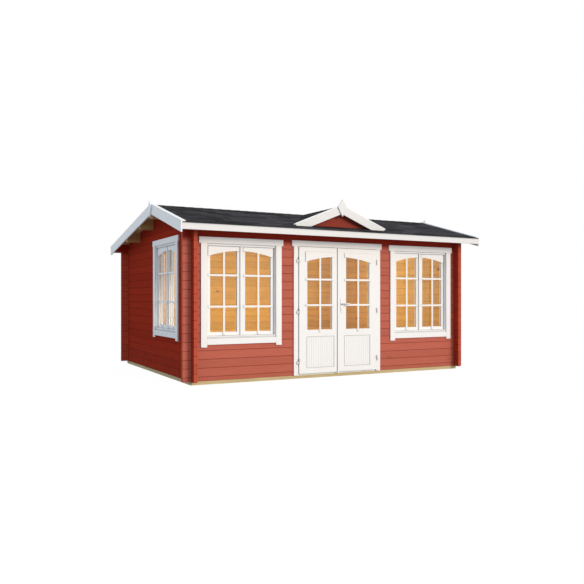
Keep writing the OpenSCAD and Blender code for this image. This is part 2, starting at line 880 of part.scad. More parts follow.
// Spindle through the leaf with a lever on each side
module door_handle() color(STEEL)
    translate([handle_in, 0, handle_lever_z]) {
        translate([0, leaf_face_y - lever_out, 0]) rotate([-90, 0, 0])
            cylinder(r = spindle_r, h = leaf_t + 2 * lever_out);
        for (y = [leaf_face_y - lever_out, leaf_back_y + lever_out]) translate([0, y, 0]) {
            sphere(lever_r);
            rotate([0, 90, 0]) cylinder(r = lever_r, h = lever_l);
            translate([lever_l, 0, 0]) sphere(lever_r);
        }
    }

base_long_beams();
base_cross_beams();
floor_boards();
front_wall_left();
front_wall_right();
front_wall_top();
rear_wall();
left_wall();
right_wall();
left_gable();
right_gable();
ridge_beam();
rear_purlins();
front_roof_boards();
rear_roof_boards();
front_shingles();
rear_shingles();
ridge_cap();
left_bargeboards();
right_bargeboards();
verge_strips();
fascia_boards();
gable_finials();
dormer_gable();
dormer_roof_boards();
dormer_shingles();
dormer_bargeboards();
dormer_finial();
window_casings();
left_window_frame();
right_window_frame();
side_window_frame();
left_window_sashes();
right_window_sashes();
side_window_sashes();
window_glass();
door_casing();
door_frame();
left_door_leaf();
right_door_leaf();
left_door_glass();
right_door_glass();
left_door_hinges();
right_door_hinges();
frame_hinges();
handle_plates();
door_handle();
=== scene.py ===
"""Garden cabin of painted logs.

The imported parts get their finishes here, and the shingles, planks, boards, mouldings and door
furniture that stand on them are built around them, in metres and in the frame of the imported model.
"""
import logging
import math
from collections.abc import Callable, Iterable, Mapping, Sequence
from dataclasses import dataclass, replace
from enum import Enum
from functools import cache, partial

import bmesh
import bpy
import numpy as np
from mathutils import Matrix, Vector


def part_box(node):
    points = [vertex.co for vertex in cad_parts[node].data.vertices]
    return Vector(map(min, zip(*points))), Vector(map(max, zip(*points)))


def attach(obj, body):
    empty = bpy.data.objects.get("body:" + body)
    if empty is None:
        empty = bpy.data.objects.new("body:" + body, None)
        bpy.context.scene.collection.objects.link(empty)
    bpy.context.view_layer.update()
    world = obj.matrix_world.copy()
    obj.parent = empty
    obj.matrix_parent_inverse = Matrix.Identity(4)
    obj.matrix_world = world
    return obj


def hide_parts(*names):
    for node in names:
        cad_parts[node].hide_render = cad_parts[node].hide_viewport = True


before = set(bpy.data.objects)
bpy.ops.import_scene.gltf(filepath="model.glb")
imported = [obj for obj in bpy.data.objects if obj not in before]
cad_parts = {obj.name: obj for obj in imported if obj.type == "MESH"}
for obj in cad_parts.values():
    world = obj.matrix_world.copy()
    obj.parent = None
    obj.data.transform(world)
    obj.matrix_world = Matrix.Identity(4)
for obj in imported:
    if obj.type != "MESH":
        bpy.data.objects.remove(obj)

LOG = logging.getLogger("log_cabin")
LOG_HEIGHT = 0.114

Array = np.ndarray
Socket = bpy.types.NodeSocket
Colour = tuple[float, float, float]
Shape = tuple[Array, list[list[int]]]


# ---------- Shapes ----------


def node_points(name: str) -> Array:
    """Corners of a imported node, as rows of x, y and z."""
    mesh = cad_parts[name].data
    flat = np.empty(len(mesh.vertices) * 3, np.float32)
    mesh.vertices.foreach_get("co", flat)
    return flat.reshape(-1, 3).astype(float)


def levels(values: Array) -> Array:
    """The different values in an array, to a tenth of a millimetre, from low to high."""
    return np.unique(values.round(4))


def spread(x: Array, y: Array, z: Array) -> Array:
    """Points from their x, y and z, each spread to one common shape."""
    return np.stack(np.broadcast_arrays(x, y, z), axis=-1)


def prisms(rings: Array) -> Shape:
    """Closed solids from rings of points.

    Point p of ring r is joined to point p of ring r + 1, and the first and the last ring of each
    solid are closed by one flat face.

    Args:
        rings: Points in the shape (solids, rings, points, 3).

    Returns:
        The corners and the faces of all the solids.
    """
    count, ring_count, points = rings.shape[:3]
    index = np.arange(ring_count * points).reshape(ring_count, points)
    following = np.roll(index, -1, axis=1)
    sides = np.stack([index[:-1], following[:-1], following[1:], index[1:]], axis=-1)
    starts = np.arange(count)[:, None, None] * ring_count * points
    side_faces = (sides.reshape(-1, 4) + starts).reshape(-1, 4)
    caps = (np.stack([index[0, ::-1], index[-1]]) + starts).reshape(-1, points)
    return rings.reshape(-1, 3), side_faces.tolist() + caps.tolist()


def shades(seed: int, rings: Array) -> Array:
    """One random shade from 0 to 1 for each solid, repeated for each of its corners."""
    return np.random.default_rng(seed).random(len(rings)).repeat(rings[0].size // 3)


def joined(shapes: Sequence[Shape]) -> Shape:
    """Several shapes as one, each with its corner numbers moved past those before it.

    Args:
        shapes: The shapes.

    Returns:
        The corners and the faces of them all.
    """
    corners, faces, start = [], [], 0
    for points, shape_faces in shapes:
        corners.append(points)
        faces += [[start + i for i in face] for face in shape_faces]
        start += len(points)
    return np.concatenate(corners), faces


def boxes(lows: Array, highs: Array) -> Shape:
    """Upright boxes, from the lowest and the highest corner of each as rows of two arrays."""
    turn = np.array([[0, 0], [1, 0], [1, 1], [0, 1]])
    pick = np.stack([np.c_[turn, np.full(4, level)] for level in (0, 1)])
    return prisms(np.where(pick[None] == 1, highs[:, None, None], lows[:, None, None]))


def board_outlines(
    start: Array, end: Array, back: float, face: float, cut: float
) -> tuple[Array, Array]:
    """Outlines of boards, each a rectangle whose two corners at the face are cut off.

    Args:
        start: Where each board starts.
        end: Where each board ends.
        back: Level of the boards' backs.
        face: Level of their faces.
        cut: Size of the chamfers.

    Returns:
        Six places across for each board, and the six levels that go with them.
    """
    across = np.stack([start, end, end, end - cut, start + cut, start], axis=1)
    inner = face - math.copysign(cut, face - back)
    return across, np.array([back, back, inner, face, face, inner])


def circles(sides: int) -> Array:
    """Angles round a circle, ready to be spread over rings of points."""
    return np.linspace(0, 2 * math.pi, sides, endpoint=False)[:, None]


def tube(centres: Array, side: Array, up: Array, sides: int = 20) -> Shape:
    """A closed tube round a line: centre + side * cos(a) + up * sin(a), for the angles a.

    Args:
        centres: Points of the line, in the shape (rings, 3).
        side: The half width of each ring as a vector.
        up: The half height of each ring as a vector.
        sides: Number of points round the tube.

    Returns:
        The corners and the faces of the tube.
    """
    angle = circles(sides)
    rings = centres[:, None] + side[:, None] * np.cos(angle) + up[:, None] * np.sin(angle)
    return prisms(rings[None])


def turned_ring(centre: Array, axis: Array, profile: Array, sides: int = 28) -> Shape:
    """A ring turned round an axis, whose profile closes from its last point to its first.

    A point of the profile, at the distance d along the axis and the radius r, sweeps the circle
    centre + axis * d + r * (u * cos(a) + v * sin(a)), where u and v are square to the axis.

    Args:
        centre: Where the axis starts.
        axis: The unit vector of the axis.
        profile: Rows of distance and radius.
        sides: Number of points round each circle.

    Returns:
        The corners and the faces of the ring.
    """
    u = np.roll(axis, 1)
    circle = u * np.cos(circles(sides)) + np.cross(axis, u) * np.sin(circles(sides))
    rings = centre + axis * profile[:, None, :1] + circle * profile[:, None, 1:]
    corners, faces = prisms(rings.reshape(1, -1, sides, 3))
    first, last = np.arange(sides), np.arange(sides) + len(corners) - sides
    inner = np.stack([first, last, np.roll(last, -1), np.roll(first, -1)], axis=1)
    return corners, faces[:-2] + inner.tolist()


# ---------- Pieces ----------


@dataclass(frozen=True)
class Placing:
    """How a new piece belongs to the cabin.

    It has a material slot of the record, a body that it moves with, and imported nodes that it
    stands for.
    """

    slot: str
    body: str = "root"
    replaces: tuple[str, ...] = ()


def put(name: str, data: bpy.types.ID) -> bpy.types.Object:
    """Makes an object and links it to the scene."""
    made = bpy.data.objects.new(name, data)
    bpy.context.scene.collection.objects.link(made)
    return made


def add_piece(
    name: str,
    shape: Shape,
    materials: Sequence[bpy.types.Material],
    placing: Placing,
    tones: Array | None = None,
    material_of_face: Array | None = None,
    rounding: float = 0.0,
    smooth_below: float = 0.0,
) -> None:
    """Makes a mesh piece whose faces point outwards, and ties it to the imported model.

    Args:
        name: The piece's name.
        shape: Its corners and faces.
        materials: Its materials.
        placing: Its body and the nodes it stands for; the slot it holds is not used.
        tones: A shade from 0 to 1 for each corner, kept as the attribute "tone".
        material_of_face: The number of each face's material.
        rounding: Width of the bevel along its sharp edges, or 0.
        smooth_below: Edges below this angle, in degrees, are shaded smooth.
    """
    corners, faces = shape
    mesh = bpy.data.meshes.new(name)
    mesh.from_pydata(corners.tolist(), [], faces)
    if tones is not None:
        mesh.attributes.new("tone", "FLOAT", "POINT").data.foreach_set("value", tones)
    if material_of_face is not None:
        mesh.polygons.foreach_set("material_index", material_of_face.astype(np.int32))
    edit = bmesh.new()
    edit.from_mesh(mesh)
    bmesh.ops.recalc_face_normals(edit, faces=edit.faces)
    edit.to_mesh(mesh)
    edit.free()
    for material in materials:
        mesh.materials.append(material)
    if smooth_below:
        mesh.polygons.foreach_set("use_smooth", np.ones(len(mesh.polygons), bool))
        mesh.set_sharp_from_angle(angle=math.radians(smooth_below))
    piece = put(name, mesh)
    if rounding:
        bevel = piece.modifiers.new("eased_edges", "BEVEL")
        bevel.width = rounding
        bevel.segments = 2
        bevel.limit_method = "ANGLE"
        bevel.angle_limit = math.radians(25)
    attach(piece, placing.body)
    if placing.replaces:
        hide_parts(*placing.replaces)
    LOG.info("%s: %d faces, on %s", name, len(faces), placing.body)


def merged_shape(node: str) -> Shape:
    """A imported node's surface with its triangles merged into flat faces.

    Args:
        node: The node's name.

    Returns:
        Its corners and faces.
    """
    edit = bmesh.new()
    edit.from_mesh(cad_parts[node].data)
    bmesh.ops.remove_doubles(edit, verts=edit.verts, dist=1e-5)
    bmesh.ops.dissolve_limit(
        edit, angle_limit=math.radians(0.5), verts=edit.verts, edges=edit.edges
    )
    edit.verts.index_update()
    corners = np.array([vertex.co for vertex in edit.verts])
    faces = [[vertex.index for vertex in face.verts] for face in edit.faces]
    edit.free()
    return corners, faces


def dress(nodes: Iterable[str], material: bpy.types.Material) -> None:
    """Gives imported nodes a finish.

    Args:
        nodes: The nodes' names.
        material: The finish.
    """
    for name in nodes:
        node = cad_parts[name]
        if not node.material_slots:
            node.data.materials.append(material)
        for slot in node.material_slots:
            slot.material = material
        LOG.info("%s: dressed in %s", name, material.name)


# ---------- Node trees ----------


class Sheet:
    """A node tree under construction, with one short method for each kind of step."""

    def __init__(self, tree: bpy.types.NodeTree) -> None:
        """Starts on a tree."""
        self.tree = tree

    def node(
        self, kind: str, feeds: Mapping[int | str, object] | None = None, **settings: object
    ) -> bpy.types.Node:
        """Adds a node.

        Args:
            kind: The kind of node, such as "Math".
            feeds: What goes into its inputs, by their number or name.
            settings: Its properties.

        Returns:
            The new node.
        """
        made = self.tree.nodes.new("ShaderNode" + kind)
        for key, value in settings.items():
            setattr(made, key, value)
        for key, value in (feeds or {}).items():
            self.feed(made.inputs[key], value)
        return made

    def feed(self, socket: Socket, value: object) -> None:
        """Links a socket into an input, or writes a number, a vector or a colour there."""
        if isinstance(value, bpy.types.NodeSocket):
            self.tree.links.new(value, socket)
        else:
            socket.default_value = (*value, 1.0) if socket.type == "RGBA" else value

    def math(self, operation: str, *values: float | Socket, clamp: bool = False) -> Socket:
        """One step of arithmetic on numbers or sockets."""
        feeds = dict(enumerate(values))
        return self.node("Math", feeds, operation=operation, use_clamp=clamp).outputs[0]

    def times(self, first: float | Socket, second: float | Socket) -> Socket:
        """The product of two values."""
        return self.math("MULTIPLY", first, second)

    def vector(self, operation: str, first: Socket, second: object) -> Socket:
        """One step of arithmetic on vectors."""
        return self.node("VectorMath", {0: first, 1: second}, operation=operation).outputs[0]

    def parts(self, vector: Socket) -> list[Socket]:
        """The x, y and z of a vector."""
        return list(self.node("SeparateXYZ", {0: vector}).outputs)

    def grey(self, value: Socket) -> Socket:
        """A number as a colour or vector with three equal parts."""
        return self.node("CombineXYZ", {0: value, 1: value, 2: value}).outputs[0]

    def tone(self) -> Socket:
        """The shade that a piece keeps for each plank or shingle."""
        return self.node("Attribute", attribute_name="tone").outputs["Fac"]

    def noise(self, vector: Socket, scale: float | Socket, detail: float) -> Socket:
        """Smooth noise from 0 to 1."""
        feeds = {"Vector": vector, "Scale": scale, "Detail": detail}
        return self.node("TexNoise", feeds).outputs[0]

    def ramp(
        self, value: Socket, low: float, high: float, start: float = 0.0, end: float = 1.0
    ) -> Socket:
        """A smooth step from start, where the value is low, to end, where it is high."""
        feeds = {"Value": value, "From Min": low, "From Max": high, "To Min": start, "To Max": end}
        return self.node("MapRange", feeds, interpolation_type="SMOOTHSTEP").outputs[0]

    def mix(
        self, factor: float | Socket, first: object, second: object, blend: str = "MIX"
    ) -> Socket:
        """A mix of two colours."""
        feeds = {0: factor, 6: first, 7: second}
        return self.node("Mix", feeds, data_type="RGBA", blend_type=blend).outputs[2]

    def shaded(self, colour: Socket, share: Socket) -> Socket:
        """A colour multiplied by a number."""
        return self.mix(1.0, colour, self.grey(share), "MULTIPLY")

    def use(self, group: bpy.types.NodeTree, **inputs: object) -> list[Socket]:
        """Places a node group and returns its outputs; _ in an input's name is a space."""
        feeds = {key.replace("_", " "): value for key, value in inputs.items()}
        return list(self.node("Group", feeds, node_tree=group).outputs)

    def show(self, share: Socket, first: Socket, second: Socket, output: bpy.types.Node) -> None:
        """Shows a mix of two shaders.

        Args:
            share: How much of the second shader shows, from 0 to 1.
            first: The first shader.
            second: The second shader.
            output: The output node.
        """
        mixed = self.node("MixShader", {0: share, 1: first, 2: second})
        self.feed(output.inputs["Surface"], mixed.outputs[0])


def new_group(
    name: str, inputs: Sequence[str], outputs: Sequence[str]
) -> tuple[Sheet, list[Socket], list[Socket]]:
    """Starts a node group.

    Args:
        name: The group's name.
        inputs: The inputs' names; one called Position is a vector, and the others are numbers.
        outputs: The name of each output, which are all numbers.

    Returns:
        The sheet, the sockets that bring the inputs in, and the sockets that take the outputs.
    """
    tree = bpy.data.node_groups.new(name, "ShaderNodeTree")
    for way, labels in (("INPUT", inputs), ("OUTPUT", outputs)):
        for label in labels:
            kind = "Vector" if label == "Position" else "Float"
            tree.interface.new_socket(label, in_out=way, socket_type=f"NodeSocket{kind}")
    brought = tree.nodes.new("NodeGroupInput").outputs
    taken = tree.nodes.new("NodeGroupOutput").inputs
    return Sheet(tree), list(brought)[: len(inputs)], list(taken)[: len(outputs)]


@cache
def timber_grain() -> bpy.types.NodeTree:
    """Group with the streaks and knots of timber whose grain runs along X.

    Streaks are noise drawn out along X, warped a little. Knots are the middles of scattered cells.

    Returns:
        The group's tree.
    """
    sheet, (place, fineness, density), (streaks, knots) = new_group(
        "timber_grain", ("Position", "Fineness", "Knots per Metre"), ("Streaks", "Knots")
    )
    sway = sheet.noise(sheet.vector("MULTIPLY", place, (0.5, 1.0, 1.0)), 4.0, 1.0)
    drawn = sheet.vector(
        "ADD",
        sheet.vector("MULTIPLY", place, (0.05, 1.0, 1.0)),
        sheet.grey(sheet.times(sway, 0.035)),
    )
    broad = sheet.noise(drawn, fineness, 3.0)
    fine = sheet.noise(drawn, sheet.times(fineness, 4.5), 2.0)
    both = sheet.math("ADD", sheet.times(broad, 0.6), sheet.times(fine, 0.4))
    sheet.feed(streaks, sheet.ramp(both, 0.3, 0.7))
    scattered = sheet.vector("MULTIPLY", place, (0.6, 1.3, 1.3))
    cells = sheet.node("TexVoronoi", {"Vector": scattered, "Scale": density})
    sheet.feed(knots, sheet.ramp(cells.outputs["Distance"], 0.1, 0.05))
    return sheet.tree


@cache
def log_courses() -> bpy.types.NodeTree:
    """Group that knows the logs of a wall by their height.

    With n = (z - First Joint) / Log Height, Joint is 1 where n is whole and fades within Groove,
    and Tone is one random number for each log.

    Returns:
        The group's tree.
    """
    sheet, (height, first, tall, groove), (joint, tone) = new_group(
        "log_courses", ("Height", "First Joint", "Log Height", "Groove"), ("Joint", "Tone")
    )
    count = sheet.math("DIVIDE", sheet.math("SUBTRACT", height, first), tall)
    off = sheet.math("ABSOLUTE", sheet.math("SUBTRACT", count, sheet.math("ROUND", count)))
    share = sheet.math("DIVIDE", sheet.times(off, tall), groove)
    sheet.feed(joint, sheet.ramp(share, 1.0, 0.1))
    number = {"W": sheet.math("FLOOR", count)}
    chance = sheet.node("TexWhiteNoise", number, noise_dimensions="1D")
    sheet.feed(tone, chance.outputs["Value"])
    return sheet.tree


@cache
def room_side() -> bpy.types.NodeTree:
    """Group that is 1 inside the room: |x| < Half Width and Front < y < Rear.

    Returns:
        The group's tree.
    """
    sheet, (place, half_width, front, rear), (inside,) = new_group(
        "room_side", ("Position", "Half Width", "Front", "Rear"), ("Inside",)
    )
    x, y, _ = sheet.parts(place)
    within = sheet.math("LESS_THAN", sheet.math("ABSOLUTE", x), half_width)
    behind = sheet.math("GREATER_THAN", y, front)
    before = sheet.math("LESS_THAN", y, rear)
    sheet.feed(inside, sheet.times(within, sheet.times(behind, before)))
    return sheet.tree


@cache
def ground_splash() -> bpy.types.NodeTree:
    """Group with the dust that rain throws up: noise times 1 - z / Reach.

    Returns:
        The group's tree.
    """
    sheet, (place, reach), (dust,) = new_group("ground_splash", ("Position", "Reach"), ("Dust",))
    height = sheet.math("DIVIDE", sheet.parts(place)[2], reach)
    low = sheet.math("SUBTRACT", 1.0, height, clamp=True)
    patches = sheet.ramp(sheet.noise(place, 9.0, 4.0), 0.35, 0.7)
    sheet.feed(dust, sheet.times(low, patches))
    return sheet.tree


# ---------- Finishes ----------


class Grain(Enum):
    """The way the grain runs, as the turn that brings it to X."""

    ALONG_X = (0.0, 0.0, 0.0)
    ALONG_Y = (0.0, 0.0, -math.pi / 2)
    UPRIGHT = (0.0, math.pi / 2, 0.0)


class MaterialSheet(Sheet):
    """The node tree of a new material with one Principled shader."""

    def __init__(self, name: str) -> None:
        """Starts a material.

        Args:
            name: Its name.
        """
        self.material = bpy.data.materials.new(name)
        self.material.use_nodes = True
        super().__init__(self.material.node_tree)
        self.shader = self.tree.nodes["Principled BSDF"]
        self.output = self.tree.nodes["Material Output"]
        self.place = self.node("TexCoord").outputs["Object"]

    def along(self, grain: Grain) -> Socket:
        """The position turned so that the grain runs along X."""
        feeds = {"Vector": self.place, "Rotation": grain.value}
        return self.node("Mapping", feeds).outputs[0]

    def bump(self, height: Socket, distance: float) -> None:
        """Feeds the shader's normal from a height."""
        made = self.node("Bump", {"Distance": distance, "Height": height})
        self.feed(self.shader.inputs["Normal"], made.outputs[0])

    def finished(self, colour: object, **inputs: object) -> bpy.types.Material:
        """Feeds the shader's colour and further inputs, whose names have _ for a space."""
        for key, value in {"Base_Color": colour, **inputs}.items():
            self.feed(self.shader.inputs[key.replace("_", " ")], value)
        return self.material


@dataclass(frozen=True)
class Room:
    """The box between the middles of the four log walls."""

    half_width: float
    front: float
    rear: float


@dataclass(frozen=True)
class BareWood:
    """Planed timber without paint.

    Fineness is the number of broad streaks to a metre, and knots that of knots. A toned piece has
    a shade for each plank.
    """

    name: str
    pale: Colour
    dark: Colour
    knot: Colour
    fineness: float = 22.0
    knots: float = 2.6
    roughness: float = 0.62
    toned: bool = False

    def colour(self, sheet: Sheet, position: Socket) -> tuple[Socket, Socket, Socket]:
        """Adds the wood's colour to a sheet.

        Args:
            sheet: The sheet.
            position: The position, with the grain along X.

        Returns:
            The colour, the streaks from 0 to 1, and the knots from 0 to 1.
        """
        streaks, knots = sheet.use(
            timber_grain(), Position=position, Fineness=self.fineness, Knots_per_Metre=self.knots
        )
        wood = sheet.mix(streaks, self.pale, self.dark)
        return sheet.mix(knots, wood, self.knot), streaks, knots

    @cache
    def material(self, grain: Grain) -> bpy.types.Material:
        """A material for timber.

        Args:
            grain: The way its grain runs.

        Returns:
            The material.
        """
        sheet = MaterialSheet(f"{self.name}_{grain.name.lower()}")
        position = sheet.along(grain)
        if self.toned:
            tone = sheet.tone()
            position = sheet.vector("ADD", position, sheet.grey(sheet.times(tone, 7.0)))
        wood, streaks, _ = self.colour(sheet, position)
        if self.toned:
            wood = sheet.shaded(wood, sheet.ramp(tone, 0.0, 1.0, 0.86, 1.06))
        rough = sheet.ramp(streaks, 0.0, 1.0, self.roughness - 0.06, self.roughness + 0.06)
        sheet.bump(streaks, 0.0005)
        return sheet.finished(wood, Roughness=rough, Specular_IOR_Level=0.35)


@dataclass(frozen=True)
class LogPaint:
    """Opaque paint on the outside of a log wall, whose room side stays bare.

    The paint is deeper right under the eaves, which is painted shade of the eaves, on surfaces
    that face left or right, whose deeper paint is painted shade of the side walls, and in the
    joints, whose dark line reaches groove to each side. The reach of the painted eave shade says
    how far below and above the eaves' lower edge the paint changes. Joint_shares are how dark the
    joints get outside and inside. Splash has the height that dust reaches and its share.
    """

    name: str
    paint: Colour
    eave_shaded_paint: Colour
    side_shaded_paint: Colour
    joint_paint: Colour
    inner: BareWood
    gloss: float
    grain: Grain
    groove: float = 0.0065
    eave_shade_reach: tuple[float, float] = (0.09, 0.01)
    joint_shares: tuple[float, float] = (0.75, 0.5)
    splash: tuple[float, float] = (0.45, 0.12)
    dust: Colour = (0.34, 0.19, 0.12)

    def material(self, first_joint: float, eave: float, room: Room) -> bpy.types.Material:
        """A material for one wall.

        Args:
            first_joint: Level of any joint of that wall.
            eave: Level of the lower edge of the eaves.
            room: The box inside which the wall is bare.

        Returns:
            The material.
        """
        sheet = MaterialSheet(self.name)
        height = sheet.parts(sheet.place)[2]
        joint, tone = sheet.use(
            log_courses(),
            Height=height,
            First_Joint=first_joint,
            Log_Height=LOG_HEIGHT,
            Groove=self.groove,
        )
        bare, streaks, knots = self.inner.colour(sheet, sheet.along(self.grain))
        normal = sheet.parts(sheet.node("NewGeometry").outputs["Normal"])
        # painted shade: surfaces that face left or right get a deeper paint, for the shade of the
        # sides
        painted_side_shade = sheet.ramp(sheet.math("ABSOLUTE", normal[0]), 0.5, 0.9)
        # painted shade: the paint deepens towards and right under the eaves, for their shadow
        painted_eave_shade = sheet.ramp(height, eave - self.eave_shade_reach[0], eave + self.eave_shade_reach[1])
        paint = sheet.mix(painted_eave_shade, self.paint, self.eave_shaded_paint)
        paint = sheet.mix(painted_side_shade, paint, self.side_shaded_paint)
        marks = sheet.math(
            "SUBTRACT", sheet.ramp(streaks, 0.0, 1.0, 0.03, -0.05), sheet.times(knots, 0.16)
        )
        shade = sheet.math("ADD", sheet.ramp(tone, 0.0, 1.0, 0.94, 1.04), marks)
        outside, inside = (sheet.times(joint, share) for share in self.joint_shares)
        paint = sheet.mix(outside, sheet.shaded(paint, shade), self.joint_paint)
        (dust,) = sheet.use(ground_splash(), Position=sheet.place, Reach=self.splash[0])
        paint = sheet.mix(sheet.times(dust, self.splash[1]), paint, self.dust)
        toned = sheet.shaded(bare, sheet.ramp(tone, 0.0, 1.0, 0.9, 1.06))
        bare = sheet.mix(inside, toned, self.inner.knot)
        (room_mask,) = sheet.use(
            room_side(),
            Position=sheet.place,
            Half_Width=room.half_width,
            Front=room.front,
            Rear=room.rear,
        )
        sheet.bump(streaks, 0.0006)
        return sheet.finished(
            sheet.mix(room_mask, paint, bare),
            Roughness=sheet.ramp(streaks, 0.0, 1.0, 0.48, 0.6),
            Specular_IOR_Level=self.gloss,
        )


@dataclass(frozen=True)
class GlossPaint:
    """Smooth opaque paint on joinery, with faint brush strokes and a little dust near the ground.

    Strokes and dust have the worn colour by the shares in wear, and the dust is as high as splash.
    Inner corners are darkened towards a painted shade colour by the share of painted corner
    shade, which reaches corner_reach out of them.
    """

    name: str
    paint: Colour
    worn: Colour
    corner_shade: Colour
    roughness: float
    gloss: float
    wear: tuple[float, float] = (0.16, 0.35)
    splash: float = 0.35
    corner_shading: float = 0.8
    corner_reach: float = 0.022

    @cache
    def material(self, grain: Grain) -> bpy.types.Material:
        """A material for painted boards.

        Args:
            grain: The way their grain runs.

        Returns:
            The material.
        """
        sheet = MaterialSheet(f"{self.name}_{grain.name.lower()}")
        strokes, _ = sheet.use(
            timber_grain(), Position=sheet.along(grain), Fineness=60.0, Knots_per_Metre=1.0
        )
        (dust,) = sheet.use(ground_splash(), Position=sheet.place, Reach=self.splash)
        marks = (sheet.times(mark, share) for mark, share in zip((strokes, dust), self.wear))
        worn = sheet.math("ADD", *marks, clamp=True)
        # painted shade: occlusion darkens inner corners and the gaps between parts
        corners = sheet.node("AmbientOcclusion", {"Distance": self.corner_reach}, samples=8)
        painted_corner_shade = sheet.ramp(corners.outputs["AO"], 0.9, 0.25, 0.0, self.corner_shading)
        sheet.bump(strokes, 0.00025)
        return sheet.finished(
            sheet.mix(painted_corner_shade, sheet.mix(worn, self.paint, self.worn), self.corner_shade),
            Roughness=sheet.ramp(strokes, 0.0, 1.0, self.roughness - 0.05, self.roughness + 0.07),
            Specular_IOR_Level=self.gloss,
        )


@dataclass(frozen=True)
class MineralFelt:
    """Bitumen shingles strewn with slate granules.

    Specks, the shade of each shingle and broad patches make the felt paler, each by its share.
    """

    name: str
    dark: Colour
    pale: Colour
    speck: float = 0.24
    shingle: float = 0.74
    patch: float = 0.1

    @cache
    def material(self) -> bpy.types.Material:
        """A material for pieces that have the attribute "tone".

        Returns:
            The material.
        """
        sheet = MaterialSheet(self.name)
        grains = sheet.node("TexVoronoi", {"Vector": sheet.place, "Scale": 420.0})
        speck = sheet.parts(grains.outputs["Color"])[0]
        patches = sheet.noise(sheet.place, 3.0, 4.0)
        own = sheet.times(sheet.tone(), self.shingle)
        broad = sheet.math("ADD", own, sheet.times(patches, self.patch))
        share = sheet.math("ADD", sheet.times(speck, self.speck), broad)
        sheet.bump(grains.outputs["Distance"], 0.001)
        colour = sheet.mix(share, self.dark, self.pale)
        return sheet.finished(colour, Roughness=1.0, Specular_IOR_Level=0.05)


@dataclass(frozen=True)
class SatinMetal:
    """Brushed steel with faint finger marks."""

    name: str
    metal: Colour
    stain: Colour

    @cache
    def material(self) -> bpy.types.Material:
        """A material for the door furniture.

        Returns:
            The material.
        """
        sheet = MaterialSheet(self.name)
        drawn = sheet.vector("MULTIPLY", sheet.place, (30.0, 30.0, 900.0))
        brushed = sheet.noise(drawn, 1.0, 2.0)
        marks = sheet.ramp(sheet.noise(sheet.place, 60.0, 3.0), 0.5, 0.75)
        colour = sheet.mix(sheet.times(marks, 0.4), self.metal, self.stain)
        sheet.bump(brushed, 0.00005)
        rough = sheet.ramp(brushed, 0.2, 0.8, 0.5, 0.62)
        return sheet.finished(colour, Roughness=rough, Metallic=1.0)


@dataclass(frozen=True)
class WindowGlass:
    """Clear glass that lets the lamps shine through."""

    name: str
    tint: Colour
    film: Colour

    @cache
    def material(self) -> bpy.types.Material:
        """Principled glass, mixed with a transparent shader for rays from lamps.

        Returns:
            The material.
        """
        sheet = MaterialSheet(self.name)
        film = sheet.ramp(sheet.noise(sheet.place, 5.0, 3.0), 0.4, 0.8)
        lamp_ray = sheet.node("LightPath").outputs["Is Shadow Ray"]
        clear = sheet.node("BsdfTransparent").outputs[0]
        sheet.show(lamp_ray, sheet.shader.outputs[0], clear, sheet.output)
        colour = sheet.mix(film, self.tint, self.film)
        return sheet.finished(colour, Transmission_Weight=1.0, IOR=1.5, Roughness=0.0)


ROOM_PINE = BareWood(
    "room_pine", (0.75, 0.48, 0.085), (0.63, 0.36, 0.05), (0.27, 0.12, 0.02), fineness=55.0
)
ROOF_PINE = BareWood(
    "roof_pine", (0.62, 0.40, 0.17), (0.46, 0.26, 0.09), (0.22, 0.10, 0.03), toned=True
)
BEAM_PINE = BareWood("beam_pine", (0.50, 0.31, 0.13), (0.36, 0.20, 0.07), (0.18, 0.08, 0.02))
FLOOR_PINE = BareWood(
    "floor_pine", (0.68, 0.42, 0.16), (0.52, 0.28, 0.09), (0.24, 0.11, 0.03), toned=True
)
BASE_LARCH = BareWood(
    "base_larch", (0.63, 0.51, 0.275), (0.50, 0.39, 0.19), (0.30, 0.20, 0.09), fineness=30.0
)
FRONT_LOG_PAINT = LogPaint(
    name="front_log_paint",
    # painted sheen: this paint is paler than the red itself, standing in for gloss
    paint=(0.50, 0.123, 0.08),
    # painted shade: the next two colours are the paint in the eaves' shadow and on the shaded sides
    eave_shaded_paint=(0.37, 0.026, 0.01),
    side_shaded_paint=(0.49, 0.058, 0.028),
    joint_paint=(0.21, 0.03, 0.018),
    inner=ROOM_PINE,
    gloss=0.1,
    grain=Grain.ALONG_X,
)
# painted shade: a deeper, matt copy of the front paint, for the rear wall seen in shade
SHADED_REAR_LOG_PAINT = replace(
    FRONT_LOG_PAINT, name="rear_log_paint_shaded", paint=(0.54, 0.078, 0.038), gloss=0.0
)
END_LOG_PAINT = LogPaint(
    name="end_log_paint",
    paint=(0.50, 0.09, 0.05),
    eave_shaded_paint=(0.50, 0.09, 0.05),
    # painted shade: deeper paint on the faces of the side walls
    side_shaded_paint=(0.37, 0.033, 0.015),
    joint_paint=(0.16, 0.014, 0.008),
    inner=ROOM_PINE,
    gloss=0.0,
    grain=Grain.ALONG_Y,
)
WHITE_PAINT = GlossPaint(
    "white_paint", (0.90, 0.893, 0.874), (0.81, 0.79, 0.755), (0.36, 0.36, 0.36), 0.42, 0.4
)
# painted shade: a greyer copy of the white paint, for the fascias and the dormer's trim
SHADED_EAVE_PAINT = GlossPaint(
    "eave_paint_shaded", (0.80, 0.786, 0.765), (0.72, 0.70, 0.665), (0.28, 0.28, 0.28), 0.42, 0.3
)
# painted shade: the gable panel's red is darkened for the shadow under its bargeboards
SHADED_DORMER_PAINT = GlossPaint(
    "dormer_paint_shaded", (0.30, 0.045, 0.028), (0.2, 0.026, 0.015), (0.08, 0.01, 0.006), 0.5, 0.05
)
SHINGLE_FELT = MineralFelt("shingle_felt", (0.006, 0.006, 0.0065), (0.070, 0.0668, 0.072))
SATIN_STEEL = SatinMetal("satin_steel", (0.62, 0.62, 0.63), (0.5, 0.5, 0.5))
